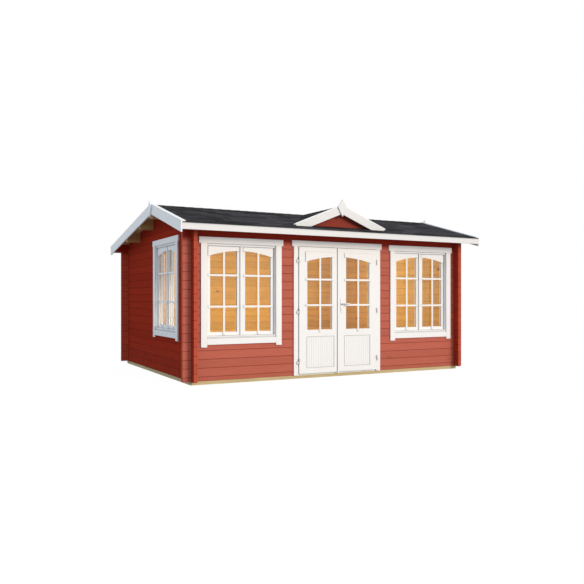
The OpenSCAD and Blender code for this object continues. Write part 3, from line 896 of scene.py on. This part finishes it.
# painted shade: dark steel on the thin boxes that stand for the keyholes
KEYHOLE_SHADE = SatinMetal("keyhole_shade", (0.06, 0.06, 0.06), (0.03, 0.03, 0.03))
PANE_GLASS = WindowGlass("pane_glass", (0.99, 1.0, 0.995), (0.95, 0.97, 0.96))


# ---------- Walls and base ----------


@dataclass
class LogWalls:
    """The four log walls and their gables."""

    front_nodes: tuple[str, ...] = ("front_wall_left", "front_wall_right", "front_wall_top")
    end_nodes: tuple[str, ...] = ("left_wall", "right_wall", "left_gable", "right_gable")

    def room(self) -> Room:
        """The box between the middles of the walls, from their outer faces and thickness."""
        left = levels(node_points("left_wall")[:, 0])
        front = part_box("front_wall_top")[0].y
        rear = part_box("rear_wall")[1].y
        half = (left[-1] - left[0]) / 2
        return Room(-left[0] - half, front + half, rear - half)

    def build(self) -> None:
        """Paints the walls outside and leaves them bare inside."""
        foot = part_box("left_wall")[0].z
        middle = foot + LOG_HEIGHT / 2
        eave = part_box("fascia_boards")[0].z
        room = self.room()
        dress(self.front_nodes, FRONT_LOG_PAINT.material(middle, eave, room))
        dress(["rear_wall"], SHADED_REAR_LOG_PAINT.material(middle, eave, room))
        dress(self.end_nodes, END_LOG_PAINT.material(foot, eave, room))


@dataclass
class Base:
    """The base beams and the floor boards on them.

    Joints are the places where the boards of a row meet, as shares of its length, in turn.
    """

    board: float = 0.092
    gap: float = 0.0006
    chamfer: float = 0.0015
    joints: tuple[float, ...] = (0.43, 0.62, 0.24)

    def build(self) -> None:
        """Dresses the beams and lays the floor."""
        dress(["base_long_beams"], BASE_LARCH.material(Grain.ALONG_X))
        dress(["base_cross_beams"], BASE_LARCH.material(Grain.ALONG_Y))
        self.lay_floor()

    def lay_floor(self) -> None:
        """Boards along X in rows, each row of two boards whose joint moves from row to row.

        The first row stops short of the door frame between the notch's sides.
        """
        points = node_points("floor_boards")
        low, high = points.min(0), points.max(0)
        notch_x = levels(points[:, 0])[1:3]
        notch_y = levels(points[:, 1])[1]
        rows = round((high[1] - notch_y) / self.board)
        edges = np.linspace(notch_y, high[1], rows + 1)
        middle = low[0] + np.resize(self.joints, rows) * (high[0] - low[0])
        x0 = np.concatenate([np.full(rows, low[0]), middle, [low[0], notch_x[1]]])
        x1 = np.concatenate([middle, np.full(rows, high[0]), [notch_x[0], high[0]]])
        y0 = np.concatenate([edges[:-1], edges[:-1], [low[1]] * 2]) + self.gap / 2
        y1 = np.concatenate([edges[1:], edges[1:], [notch_y] * 2]) - self.gap / 2
        across, level = board_outlines(y0, y1, low[2], high[2], self.chamfer)
        ends = np.stack([x0 + self.gap / 2, x1 - self.gap / 2], axis=1)
        rings = spread(ends[:, :, None], across[:, None], level)
        add_piece(
            "floor_planks",
            prisms(rings),
            [FLOOR_PINE.material(Grain.ALONG_X)],
            Placing("floor_pine", replaces=("floor_boards",)),
            shades(11, rings),
        )


# ---------- Roof ----------


@dataclass(frozen=True)
class Slope:
    """A flat roof slope.

    A point on it has a place along the ridge, a distance out from the ridge as seen from above, and
    a height above the top of the roof boards, square to the slope. Its level is
    head - out * tan(pitch) + height / cos(pitch). Side is -1 or 1, the way in which the slope
    falls along Y, or along X where falls_along_y is False.
    """

    ridge: float
    head: float
    pitch: float
    side: int
    falls_along_y: bool

    def place(self, along: Array, out: Array, height: Array) -> Array:
        """Points of the slope, as rows of x, y and z."""
        across = self.ridge + self.side * out
        level = self.head - out * math.tan(self.pitch) + height / math.cos(self.pitch)
        return spread(along, across, level) if self.falls_along_y else spread(across, along, level)

    @classmethod
    def on_boards(cls, points: Array, axis: int, side: int) -> "Slope":
        """A slope from the highest corners of its boards at the ridge and at the eave.

        Args:
            points: Corners of the boards.
            axis: 0 where the slope falls along X, and 1 where it falls along Y.
            side: -1 or 1, the way in which it falls.

        Returns:
            The slope.
        """
        reach = points[:, axis] * side
        at_ridge, at_eave = points[reach < reach.min() + 1e-4], points[reach > reach.max() - 1e-4]
        head = at_ridge[:, 2].max()
        pitch = math.atan((head - at_eave[:, 2].max()) / (reach.max() - reach.min()))
        return cls(at_ridge[0, axis], head, pitch, side, axis == 1)


@dataclass
class ShingleCourses:
    """Three-tab shingles laid up a slope from its eave.

    The courses lie along the ridge from start to end, which is a function of the distance out from
    the ridge, and reach out to run. A tab, with its slot, shows by exposure down the slope and
    reaches lap under the next course. Its underside and its top have the heights under and over at
    its upper end, at its lip, which draws in by corner on each side, and at its butt. Butts are
    uneven, and tabs lift a little. Tabs narrower than the first of least, or whose butt is closer
    to the ridge than the second, aren't laid, and a tab beyond an end of the slope keeps only the
    width sliver there. Sheet is the thickness of the felt under the tabs.
    """

    slope: Slope
    start: float
    end: Callable[[Array], Array]
    run: float
    seed: int
    exposure: float = 0.145
    tab: float = 0.333
    slot: float = 0.006
    lap: float = 0.008
    sheet: float = 0.0008
    lip: float = 0.006
    corner: float = 0.003
    under: tuple[float, ...] = (0.0008, 0.0021, 0.0022)
    over: tuple[float, ...] = (0.0020, 0.0054, 0.0048)
    uneven: float = 0.002
    lift: float = 0.0004
    sliver: float = 0.0004
    least: tuple[float, float] = (0.012, 0.03)

    def felt(self) -> Array:
        """The sheet under the tabs, as rings for one solid."""
        out = np.array([0.0, self.run])
        near, far = np.full(2, self.start), self.end(out)
        along = np.stack([near, far, far, near], axis=1)
        height = np.array([0.0, 0.0, self.sheet, self.sheet])
        return self.slope.place(along, out[:, None], height)[None]

    def tabs(self) -> Array:
        """The tabs.

        A tab is a wedge that gets thicker from its upper end to its lip, and whose lip draws in at
        the corners. Odd courses are shifted by half a tab.

        Returns:
            Rings for one solid each.
        """
        step = self.exposure * math.cos(self.slope.pitch)
        courses = math.ceil(self.run / step)
        longest = float(self.end(np.zeros(1))[0]) - self.start
        grid = np.indices((courses, math.ceil(longest / self.tab) + 1))
        course, place = grid.reshape(2, -1)
        chance = np.random.default_rng(self.seed)
        left = self.start + (place - 0.5 * (course % 2)) * self.tab + self.slot / 2
        right = left + self.tab - self.slot
        shift = chance.uniform(0.0, self.uneven, len(course)) * (course > 0)
        butt = self.run - course * step - shift
        upper = np.maximum(self.run - (course + 1) * step - self.lap, 0.0)
        out = np.stack([upper, butt - self.lip, butt], axis=1)
        draw_in = np.array([0.0, 0.0, self.corner])
        limit = self.end(out)
        low = np.clip(left[:, None] + draw_in, self.start, limit - self.sliver)
        high = np.clip(right[:, None] - draw_in, self.start + self.sliver, limit)
        kept = ((high - low).max(axis=1) > self.least[0]) & (butt > self.least[1])
        low, high, out = low[kept], high[kept], out[kept]
        over = self.over + chance.uniform(0.0, self.lift, kept.sum())[:, None]
        under = np.broadcast_to(self.under, over.shape)
        along = np.stack([low, high, high, low], axis=-1)
        height = np.stack([under, under, over, over], axis=-1)
        return self.slope.place(along, out[:, :, None], height)

    def build(self) -> tuple[Shape, Array]:
        """All courses.

        Returns:
            The shape, and a shade from 0 to 1 for each corner.
        """
        felt, tabs = self.felt(), self.tabs()
        tones = np.concatenate([np.zeros(felt.size // 3), shades(self.seed + 1, tabs)])
        return joined([prisms(felt), prisms(tabs)]), tones


@dataclass
class RidgeCaps:
    """Bent shingles laid over a ridge, each lapped by the next.

    They lie from start to end along the ridge and come down each slope by reach. Each shows by
    exposure and is covered over the length lap. Under and over are the heights of a cap's underside
    and top above base at its hidden end, at its lip and at its end, as shares of thick.
    """

    slopes: tuple[Slope, Slope]
    start: float
    end: float
    reach: float
    seed: int
    exposure: float = 0.145
    lap: float = 0.02
    lip: float = 0.003
    base: float = 0.006
    thick: float = 0.0058
    under: tuple[float, ...] = (0.0, 0.36, 0.38)
    over: tuple[float, ...] = (0.34, 1.0, 0.9)

    def build(self) -> tuple[Shape, Array]:
        """The caps as wedges whose outline follows both slopes.

        With u from -1 at one edge through 0 at the ridge to 1 at the other edge, a cap's thickness
        is eased by the factor 1 - 0.25 * exp(-(u / 0.08)^2), and by 0.2 more right at the edges.

        Returns:
            The shape, and a shade from 0 to 1 for each corner.
        """
        count = max(round((self.end - self.start) / self.exposure), 1)
        edges = np.linspace(self.start, self.end, count + 1)
        hidden = np.maximum(edges[:-1] - self.lap, self.start)
        along = np.stack([hidden, edges[1:] - self.lip, edges[1:]], axis=1)
        u = np.array([-1.0, -0.97, -0.5, -0.1, 0.0, 0.1, 0.5, 0.97, 1.0])
        crown = 1 - 0.25 * np.exp(-((u / 0.08) ** 2)) - 0.2 * (np.abs(u) > 0.98)
        under, over = (np.array(shares)[:, None] * self.thick for shares in (self.under, self.over))
        top = under + (over - under) * crown
        foot = np.broadcast_to(under, top.shape)
        height = self.base + np.concatenate([foot, top[:, ::-1]], axis=1)
        across = np.concatenate([u, u[::-1]])
        out = np.abs(across) * self.reach
        near, far = (slope.place(along[:, :, None], out, height) for slope in self.slopes)
        rings = np.where((across > 0)[:, None], far, near)
        rings[:, :, across == 0] = ((near + far) / 2)[:, :, across == 0]
        return prisms(rings), shades(self.seed, rings)


def add_shingles(name: str, parts: Sequence[ShingleCourses | RidgeCaps], replaced: str) -> None:
    """Adds courses and caps as one piece.

    Args:
        name: The piece's name.
        parts: The courses and caps.
        replaced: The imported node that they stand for.
    """
    shapes, tones = zip(*(part.build() for part in parts))
    placing = Placing("shingles", replaces=(replaced,))
    add_piece(name, joined(shapes), [SHINGLE_FELT.material()], placing, np.concatenate(tones))


@dataclass
class Roof:
    """The main roof: boards as wide as plank, beams, shingles and ridge caps."""

    plank: float = 0.088
    gap: float = 0.0006
    chamfer: float = 0.003
    cap_reach: float = 0.11

    def __post_init__(self) -> None:
        """Finds the two slopes."""
        self.front = Slope.on_boards(node_points("front_roof_boards"), 1, -1)
        self.rear = Slope.on_boards(node_points("rear_roof_boards"), 1, 1)

    def build(self) -> None:
        """Lays the boards and the covering, and dresses the beams."""
        sides = (("front", self.front, 21), ("rear", self.rear, 31))
        for side, slope, _ in sides:
            self.lay_planks(side, slope)
        for side, slope, seed in sides:
            node = f"{side}_shingles"
            low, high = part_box(node)
            end = partial(np.full_like, fill_value=high.x)
            courses = ShingleCourses(slope, low.x, end, high.y - low.y, seed)
            add_shingles(f"{side}_shingle_courses", [courses], node)
        low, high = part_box("ridge_cap")
        caps = RidgeCaps((self.front, self.rear), low.x, high.x, self.cap_reach, 41)
        add_shingles("ridge_caps", [caps], "ridge_cap")
        dress(["ridge_beam", "rear_purlins"], BEAM_PINE.material(Grain.ALONG_X))

    def lay_planks(self, side: str, slope: Slope) -> None:
        """Boards that run down a slope, side by side, with chamfers along their lower edges.

        Args:
            side: "front" or "rear".
            slope: The slope.
        """
        node = f"{side}_roof_boards"
        low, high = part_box(node)
        count = round((high.x - low.x) / self.plank)
        edges = np.linspace(low.x, high.x, count + 1)
        points = node_points(node)
        at_ridge = points[np.abs(points[:, 1] - slope.ridge) < 1e-4, 2]
        thick = (at_ridge.max() - at_ridge.min()) * math.cos(slope.pitch)
        across, height = board_outlines(
            edges[:-1] + self.gap / 2, edges[1:] - self.gap / 2, 0.0, -thick, self.chamfer
        )
        out = np.array([0.0, high.y - low.y])
        rings = slope.place(across[:, None], out[:, None], height)
        add_piece(
            f"{side}_roof_planks",
            prisms(rings),
            [ROOF_PINE.material(Grain.ALONG_Y)],
            Placing("roof_pine", replaces=(node,)),
            shades(count, rings),
        )


@dataclass
class Dormer:
    """The small gable over the door, on the main roof's front slope."""

    main: Slope
    cap_reach: float = 0.075
    covering: float = 0.006

    def valley(self, out: Array, slope: Slope) -> Array:
        """Where the dormer's covering meets the main roof's.

        Both coverings have the same level where
        dormer head - out * tan(dormer pitch) = main head - (ridge - y) * tan(main pitch).

        Args:
            out: Distances from the dormer's ridge.
            slope: A slope of the dormer.

        Returns:
            The place y for each distance.
        """
        main_top = self.main.head + self.covering / math.cos(self.main.pitch)
        own_top = slope.head + self.covering / math.cos(slope.pitch) - out * math.tan(slope.pitch)
        return self.main.ridge - (main_top - own_top) / math.tan(self.main.pitch)

    def build(self) -> None:
        """Lays the covering, and dresses the boards and the panel."""
        low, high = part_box("dormer_shingles")
        points = node_points("dormer_roof_boards")
        front = points[points[:, 1] < points[:, 1].min() + 1e-4]
        slopes = tuple(
            Slope.on_boards(front[front[:, 0] * side > -1e-4], 0, side) for side in (-1, 1)
        )
        courses = [
            ShingleCourses(slope, low.y, partial(self.valley, slope=slope), high.x, seed)
            for slope, seed in zip(slopes, (51, 52))
        ]
        strip_ends = levels(node_points("verge_strips")[:, 1])
        start = strip_ends[np.searchsorted(strip_ends, low.y)]
        end = float(self.valley(np.zeros(1), slopes[0])[0])
        caps = RidgeCaps(slopes, start, end, self.cap_reach, 61)
        add_shingles("dormer_shingle_courses", [*courses, caps], "dormer_shingles")
        dress(["dormer_roof_boards"], BEAM_PINE.material(Grain.ALONG_Y))
        dress(["dormer_gable"], SHADED_DORMER_PAINT.material(Grain.ALONG_X))


# ---------- White trim ----------


@dataclass
class WhiteTrim:
    """Bargeboards, fascias, cover strips, finials and casings, with eased edges.

    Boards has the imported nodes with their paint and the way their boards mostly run.
    """

    easing: float = 0.0016
    boards: tuple[tuple[str, GlossPaint, Grain], ...] = (
        ("left_bargeboards", WHITE_PAINT, Grain.ALONG_Y),
        ("right_bargeboards", WHITE_PAINT, Grain.ALONG_Y),
        ("gable_finials", WHITE_PAINT, Grain.ALONG_Y),
        ("verge_strips", WHITE_PAINT, Grain.ALONG_X),
        ("fascia_boards", SHADED_EAVE_PAINT, Grain.ALONG_X),
        ("dormer_bargeboards", SHADED_EAVE_PAINT, Grain.ALONG_X),
        ("dormer_finial", SHADED_EAVE_PAINT, Grain.ALONG_X),
    )

    def build(self) -> None:
        """Eases the boards, and builds the casings from separate boards."""
        for node, paint, grain in self.boards:
            add_piece(
                f"eased_{node}",
                merged_shape(node),
                [paint.material(grain)],
                Placing("white_paint", replaces=(node,)),
                rounding=self.easing,
            )
        points = node_points("window_casings")
        on_side = points[:, 1] > points[:, 1].min() + 0.1
        fronts, side = points[~on_side], points[on_side]
        boards = [
            *self.casing_boards(fronts[fronts[:, 0] < 0]),
            *self.casing_boards(fronts[fronts[:, 0] > 0]),
            *(board[:, [1, 0, 2]] for board in self.casing_boards(side[:, [1, 0, 2]])),
        ]
        self.add_boards("window_casing_boards", boards, "window_casings")
        door = self.casing_boards(node_points("door_casing"))
        self.add_boards("door_casing_boards", door, "door_casing")

    @staticmethod
    def casing_boards(points: Array) -> list[Array]:
        """Boards of one casing, from the places where its outline turns.

        Args:
            points: Corners of the casing, whose boards stand in the plane of X and Z.

        Returns:
            The low and the high corner of each board.
        """
        x, z = levels(points[:, 0]), levels(points[:, 2])
        y0, y1 = points[:, 1].min(), points[:, 1].max()
        uprights_and_head = [(1, 0, 2, -2), (3, 0, 4, -2), (0, -2, 5, -1)]
        foot = [(2, 1, 3, 2)] if len(z) > 3 else []
        return [
            np.array([[x[x0], y0, z[z0]], [x[x1], y1, z[z1]]])
            for x0, z0, x1, z1 in uprights_and_head + foot
        ]

    def add_boards(self, name: str, boards: list[Array], node: str) -> None:
        """Adds boards as one piece, with the grain along each board.

        Args:
            name: The piece's name.
            boards: The low and the high corner of each board.
            node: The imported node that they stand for.
        """
        low, high = np.stack(boards, axis=1)
        size = high - low
        upright = size[:, 2] > size[:, :2].max(axis=1)
        shape = boxes(low, high)
        box_of_face = np.array([face[0] // 8 for face in shape[1]])
        add_piece(
            name,
            shape,
            [WHITE_PAINT.material(Grain.ALONG_X), WHITE_PAINT.material(Grain.UPRIGHT)],
            Placing("white_paint", replaces=(node,)),
            material_of_face=upright[box_of_face],
            rounding=self.easing,
        )


# ---------- Windows ----------


@dataclass
class Windows:
    """Three double windows and the sill mouldings in front of their frames.

    The frames show by side_show beside the sashes. A sill's outline stands sill_out out from the
    wall's face, sill_drop below the sashes.
    """

    side_show: float = 0.014
    easing: float = 0.0008
    sill_out: tuple[float, ...] = (0.0, 0.010, 0.013, 0.013, 0.006, 0.0045, 0.0045, 0.0)
    sill_drop: tuple[float, ...] = (0.002, 0.005, 0.008, 0.016, 0.018, 0.022, 0.0335, 0.0335)

    def build(self) -> None:
        """Dresses the joinery and glass, and adds the sills."""
        sides = ("left", "right", "side")
        for part in ("frame", "sashes"):
            dress([f"{side}_window_{part}" for side in sides], WHITE_PAINT.material(Grain.UPRIGHT))
        dress(["window_glass"], PANE_GLASS.material())
        add_piece(
            "window_sills",
            prisms(np.stack([self.sill_rings(side) for side in sides])),
            [WHITE_PAINT.material(Grain.ALONG_X)],
            Placing("white_paint"),
            rounding=self.easing,
        )

    def sill_rings(self, side: str) -> Array:
        """The sill of one window.

        Args:
            side: "left", "right" or "side".

        Returns:
            Its outline at both ends.
        """
        low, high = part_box(f"{side}_window_sashes")
        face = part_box(f"{side}_window_frame")[0]
        out, level = np.array(self.sill_out), low.z - np.array(self.sill_drop)
        show = np.array([[-self.side_show], [self.side_show]])
        if side == "side":
            return spread(face.x - out, np.array([[low.y], [high.y]]) + show, level)
        return spread(np.array([[low.x], [high.x]]) + show, face.y - out, level)


# ---------- Door ----------


@dataclass
class DoubleDoor:
    """The two leaves with their boarded lower panels, glass, hinges and handles.

    Bar is the thickness of the lattice in front of the leaves. A lower panel lies panel_side from
    its leaf's edge, panel_middle from the door's middle and recess below the leaf's faces, and the
    boards leave a groove as wide as margin round them.
    """

    bar: float = 0.012
    panel_side: float = 0.118
    panel_middle: float = 0.085
    panel_foot: float = 0.076
    panel_head: float = 0.520
    recess: float = 0.008
    boards: int = 12
    board_depth: float = 0.0056
    board_gap: float = 0.0004
    margin: float = 0.007
    chamfer: float = 0.0013

    def build(self) -> None:
        """Dresses the leaves and adds their boards and door furniture."""
        upright = WHITE_PAINT.material(Grain.UPRIGHT)
        dress(["door_frame", "left_door_leaf", "right_door_leaf"], upright)
        dress(["left_door_glass", "right_door_glass"], PANE_GLASS.material())
        for side, mirror in (("left", 1.0), ("right", -1.0)):
            add_piece(
                f"{side}_door_panel_boards",
                self.panel_boards(mirror),
                [upright],
                Placing("white_paint", body=f"{side}_door"),
            )
        hinges = ["left_door_hinges", "right_door_hinges", "frame_hinges"]
        dress(hinges, SATIN_STEEL.material())
        Lever().build()
        Plates().build()

    def panel_boards(self, mirror: float) -> Shape:
        """Upright boards in the recesses on both faces of a leaf.

        Their chamfers leave a groove between neighbours.

        Args:
            mirror: 1 for the left leaf, and -1 for the right one.

        Returns:
            The boards of one leaf.
        """
        low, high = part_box("left_door_leaf")
        first, last = low.x + self.panel_side + self.margin, -self.panel_middle - self.margin
        edges = np.linspace(first, last, self.boards + 1)
        half = self.board_gap / 2
        x, depth = board_outlines(
            edges[:-1] + half, edges[1:] - half, 0.0, self.board_depth, self.chamfer
        )
        z = low.z + np.array([[self.panel_foot + self.margin], [self.panel_head - self.margin]])
        return prisms(
            np.concatenate(
                [
                    spread(x[:, None] * mirror, face + way * (depth - self.recess), z)
                    for face, way in ((low.y + self.bar, -1), (high.y, 1))
                ]
            )
        )


@dataclass
class Lever:
    """Two levers and their spindle as one bent bar.

    Spindle has its half height and half depth. Grip says how much taller the middle of a lever is,
    its half depth at the tip, and how much deeper it is at the bend. Closing has the share of a
    lever where it starts to close, and the share over which it closes.
    """

    bend: float = 0.022
    tip_gap: float = 0.001
    spindle: tuple[float, float] = (0.007, 0.0069)
    grip: tuple[float, float, float] = (0.0012, 0.0055, 0.0013)
    closing: tuple[float, float] = (0.93, 0.071)

    def line(self) -> tuple[Array, Array]:
        """The middle line of half of the bar, from one tip to the middle of the spindle.

        It runs along X, through a quarter circle, and square into the leaf.

        Returns:
            Points as rows of x, distance from the leaf's middle and z, and for each point its
            share of the way along the lever, from 1 at the tip to 0 at the bend and beyond.
        """
        low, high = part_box("door_handle")
        thick = (high.z - low.z) / 2
        spindle_x, tip = low.x + thick, high.x - self.tip_gap
        reach = (high.y - low.y) / 2 - thick
        turn = np.linspace(0, math.pi / 2, 9)[1:]
        lever = np.linspace(1, 0, 22)
        inward = np.linspace(reach - self.bend, 0, 7)[1:]
        x = np.concatenate(
            [
                spindle_x + self.bend + (tip - spindle_x - self.bend) * lever,
                spindle_x + self.bend * (1 - np.sin(turn)),
                np.full(len(inward), spindle_x),
            ]
        )
        straight = np.full(len(lever), reach)
        y = np.concatenate([straight, reach - self.bend * (1 - np.cos(turn)), inward])
        share = np.concatenate([lever, np.zeros(len(x) - len(lever))])
        return spread(x, y, np.array((low.z + high.z) / 2)), share

    def build(self) -> None:
        """Adds the bar, whose second half mirrors the first.

        Its half width grows into the levers and closes at the tips as the square root of
        1 - s * s.
        """
        low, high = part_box("door_handle")
        line, share = self.line()
        start, length = self.closing
        closing = np.sqrt(np.clip(1 - (np.clip(share - start, 0, 1) / length) ** 2, 0.02, 1))
        swell, deep, deeper = self.grip
        tall = (self.spindle[0] + swell * np.sin(share * math.pi)) * closing
        flat = np.where(share > 0, deep + deeper * (1 - share), self.spindle[1]) * closing
        line = np.concatenate([line * (1, -1, 1), line[-2::-1]]) + (0, (low.y + high.y) / 2, 0)
        tall, flat = (np.concatenate([size, size[-2::-1]])[:, None] for size in (tall, flat))
        way = np.gradient(line, axis=0)
        way /= np.linalg.norm(way, axis=1)[:, None]
        up = np.array([0.0, 0.0, 1.0])
        add_piece(
            "lever_handle",
            tube(line, np.cross(way, up) * flat, up * tall),
            [SATIN_STEEL.material()],
            Placing("door_metal", body="door_lever", replaces=("door_handle",)),
            smooth_below=50,
        )


@dataclass
class Plates:
    """Handle plates with rounded edges, each with a collar and a key cylinder.

    The collar's profile is given as distances from the plate and radii. The cylinder has a round
    head and, tail_drop lower, a round tail, and outlines at key_depths with key_scales.
    """

    easing: float = 0.0009
    collar: tuple[tuple[float, ...], ...] = (
        (0.0, 0.0, 0.0018, 0.0032, 0.0036), (0.0074, 0.0125, 0.0122, 0.0105, 0.0074)
    )
    key_drop: float = 0.078
    head: float = 0.0085
    tail: float = 0.005
    tail_drop: float = 0.0165
    key_depths: tuple[float, ...] = (0.0, 0.0024, 0.0032)
    key_scales: tuple[float, ...] = (1.0, 1.0, 0.9)
    keyway: tuple[float, float, float] = (0.0007, 0.0004, 0.0048)

    def build(self) -> None:
        """Adds the plates and what stands on them."""
        steel = SATIN_STEEL.material()
        add_piece(
            "eased_handle_plates",
            merged_shape("handle_plates"),
            [steel],
            Placing("door_metal", body="right_door", replaces=("handle_plates",)),
            rounding=self.easing,
            smooth_below=40,
        )
        low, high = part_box("handle_plates")
        x = (low.x + high.x) / 2
        spindle_z = sum(corner.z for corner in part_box("door_handle")) / 2
        key_z = spindle_z - self.key_drop
        shapes, keyways = [], []
        for face, way in ((low.y, -1.0), (high.y, 1.0)):
            axis = np.array([0.0, way, 0.0])
            centre = np.array([x, face, spindle_z])
            shapes.append(turned_ring(centre, axis, np.array(self.collar).T))
            shapes.append(self.key_cylinder(x, face, way, key_z))
            # painted shade: a thin dark box stands for each keyhole
            slot = np.array([[x, face + way * self.key_depths[-1], key_z]])
            keyways.append(boxes(slot - self.keyway, slot + self.keyway))
        add_piece(
            "handle_collars_and_cylinders",
            joined(shapes),
            [steel],
            Placing("door_metal", body="right_door"),
            smooth_below=40,
        )
        add_piece(
            "keyways",
            joined(keyways),
            [KEYHOLE_SHADE.material()],
            Placing("door_metal", body="right_door"),
        )

    def key_cylinder(self, x: float, face: float, way: float, z: float) -> Shape:
        """The end of a profile cylinder: a round head over a narrower round tail.

        The outline is an arc round the head's middle from -54 to 234 degrees, and a half circle
        below it. Copies of it, the last one smaller, are joined outwards.

        Args:
            x: Place of its middle.
            face: Face of the plate.
            way: -1 for the outer plate, and 1 for the inner one.
            z: Level of the head's middle.

        Returns:
            The cylinder's end.
        """
        head = np.radians(np.linspace(-54, 234, 25))
        tail = np.radians(np.linspace(180, 360, 11))
        across = np.concatenate([self.head * np.cos(head), self.tail * np.cos(tail)])
        up = np.concatenate([self.head * np.sin(head), self.tail * np.sin(tail) - self.tail_drop])
        scale = np.array(self.key_scales)[:, None]
        depth = np.array(self.key_depths)[:, None]
        return prisms(spread(x + across * scale, face + way * depth, z + up * scale)[None])


# ---------- Studio ----------


@dataclass
class Studio:
    """Floor, sky, lamps and camera.

    The floor shows the white of its glow to the camera and in reflections by the two shares in
    floor_shows. Lights are given as colour and strength, or power. Sun_angle is how wide the main
    lamp looks, in degrees.
    """

    floor_half: float = 60.0
    floor_grey: float = 0.46
    floor_glow: float = 1.08
    floor_shows: tuple[float, float] = (0.9, 0.15)
    to_sun: tuple[float, float, float] = (0.43, -0.86, 0.335)
    sun: tuple[Colour, float] = ((1.0, 0.85, 0.68), 1.93)
    sun_angle: float = 24.0
    sky: tuple[Colour, float] = ((0.84, 0.97, 1.13), 0.77)
    room_light: tuple[Colour, float] = ((1.0, 0.92, 0.78), 37.0)
    room_lamp_size: float = 0.3
    room_lamp_height: float = 1.35
    camera_place: tuple[float, float, float] = (-5.0434, -9.7555, 1.128)
    camera_turn: float = -27.9
    lens: float = 40.475
    shift_y: float = 0.0107

    def build(self) -> None:
        """Sets up everything that isn't part of the cabin."""
        bpy.context.scene.view_settings.view_transform = "Standard"
        self.add_floor()
        self.light_sky()
        self.add_lamps()
        self.add_camera()

    def add_floor(self) -> None:
        """A pale floor that shows white and keeps a faint shadow."""
        mesh = bpy.data.meshes.new("studio_floor")
        corners = self.floor_half * np.array([[-1, -1, 0], [1, -1, 0], [1, 1, 0], [-1, 1, 0]])
        mesh.from_pydata(corners.tolist(), [], [(0, 1, 2, 3)])
        sheet = MaterialSheet("studio_floor")
        path = sheet.node("LightPath").outputs
        seen = sheet.math("MAXIMUM", path["Is Camera Ray"], path["Is Transmission Ray"])
        direct, mirrored = self.floor_shows
        share = sheet.math(
            "MAXIMUM", sheet.times(seen, direct), sheet.times(path["Is Glossy Ray"], mirrored)
        )
        glow = sheet.node("Emission", {"Strength": self.floor_glow}).outputs[0]
        sheet.show(share, sheet.shader.outputs[0], glow, sheet.output)
        grey = (self.floor_grey,) * 3
        mesh.materials.append(sheet.finished(grey, Roughness=1.0, Specular_IOR_Level=0.0))
        floor = put("studio_floor", mesh)

    def light_sky(self) -> None:
        """A soft light from all round, which shows as white to the camera and in reflections."""
        world = bpy.data.worlds.new("studio_sky")
        world.use_nodes = True
        bpy.context.scene.world = world
        sheet = Sheet(world.node_tree)
        soft = world.node_tree.nodes["Background"]
        for name, value in zip(("Color", "Strength"), self.sky):
            sheet.feed(soft.inputs[name], value)
        white = sheet.node("Background", {"Color": (1.0, 1.0, 1.0)})
        path = sheet.node("LightPath").outputs
        mirrored = sheet.math("MAXIMUM", path["Is Glossy Ray"], path["Is Transmission Ray"])
        seen = sheet.math("MAXIMUM", path["Is Camera Ray"], mirrored)
        output = world.node_tree.nodes["World Output"]
        sheet.show(seen, soft.outputs[0], white.outputs[0], output)

    def add_lamps(self) -> None:
        """The wide, warm main lamp, and two soft lamps in the room."""
        data = bpy.data.lights.new("main_lamp", "SUN")
        data.color, data.energy = self.sun
        data.angle = math.radians(self.sun_angle)
        lamp = put("main_lamp", data)
        lamp.rotation_euler = Vector(self.to_sun).to_track_quat("Z", "Y").to_euler()
        low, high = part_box("floor_boards")
        for share in (0.3, 0.7):
            data = bpy.data.lights.new("room_lamp", "POINT")
            data.color, data.energy = self.room_light
            data.shadow_soft_size = self.room_lamp_size
            lamp = put("room_lamp", data)
            x, y = low.x + share * (high.x - low.x), (low.y + high.y) / 2
            lamp.location = (x, y, self.room_lamp_height)
            lamp.visible_camera = lamp.visible_glossy = lamp.visible_transmission = False

    def add_camera(self) -> None:
        """A level camera in front of the left-hand corner."""
        data = bpy.data.cameras.new("camera")
        data.lens = self.lens
        data.shift_y = self.shift_y
        camera = put("camera", data)
        camera.location = self.camera_place
        camera.rotation_euler = (math.pi / 2, 0.0, math.radians(self.camera_turn))
        bpy.context.scene.camera = camera


def main() -> None:
    """Builds the cabin's pieces in order, then the studio."""
    logging.basicConfig(level=logging.INFO, format="%(name)s: %(message)s")
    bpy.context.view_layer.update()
    LogWalls().build()
    Base().build()
    roof = Roof()
    roof.build()
    Dormer(roof.front).build()
    WhiteTrim().build()
    Windows().build()
    DoubleDoor().build()
    Studio().build()
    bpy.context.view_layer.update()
    LOG.info("cabin built")


if __name__ == "__main__":
    main()
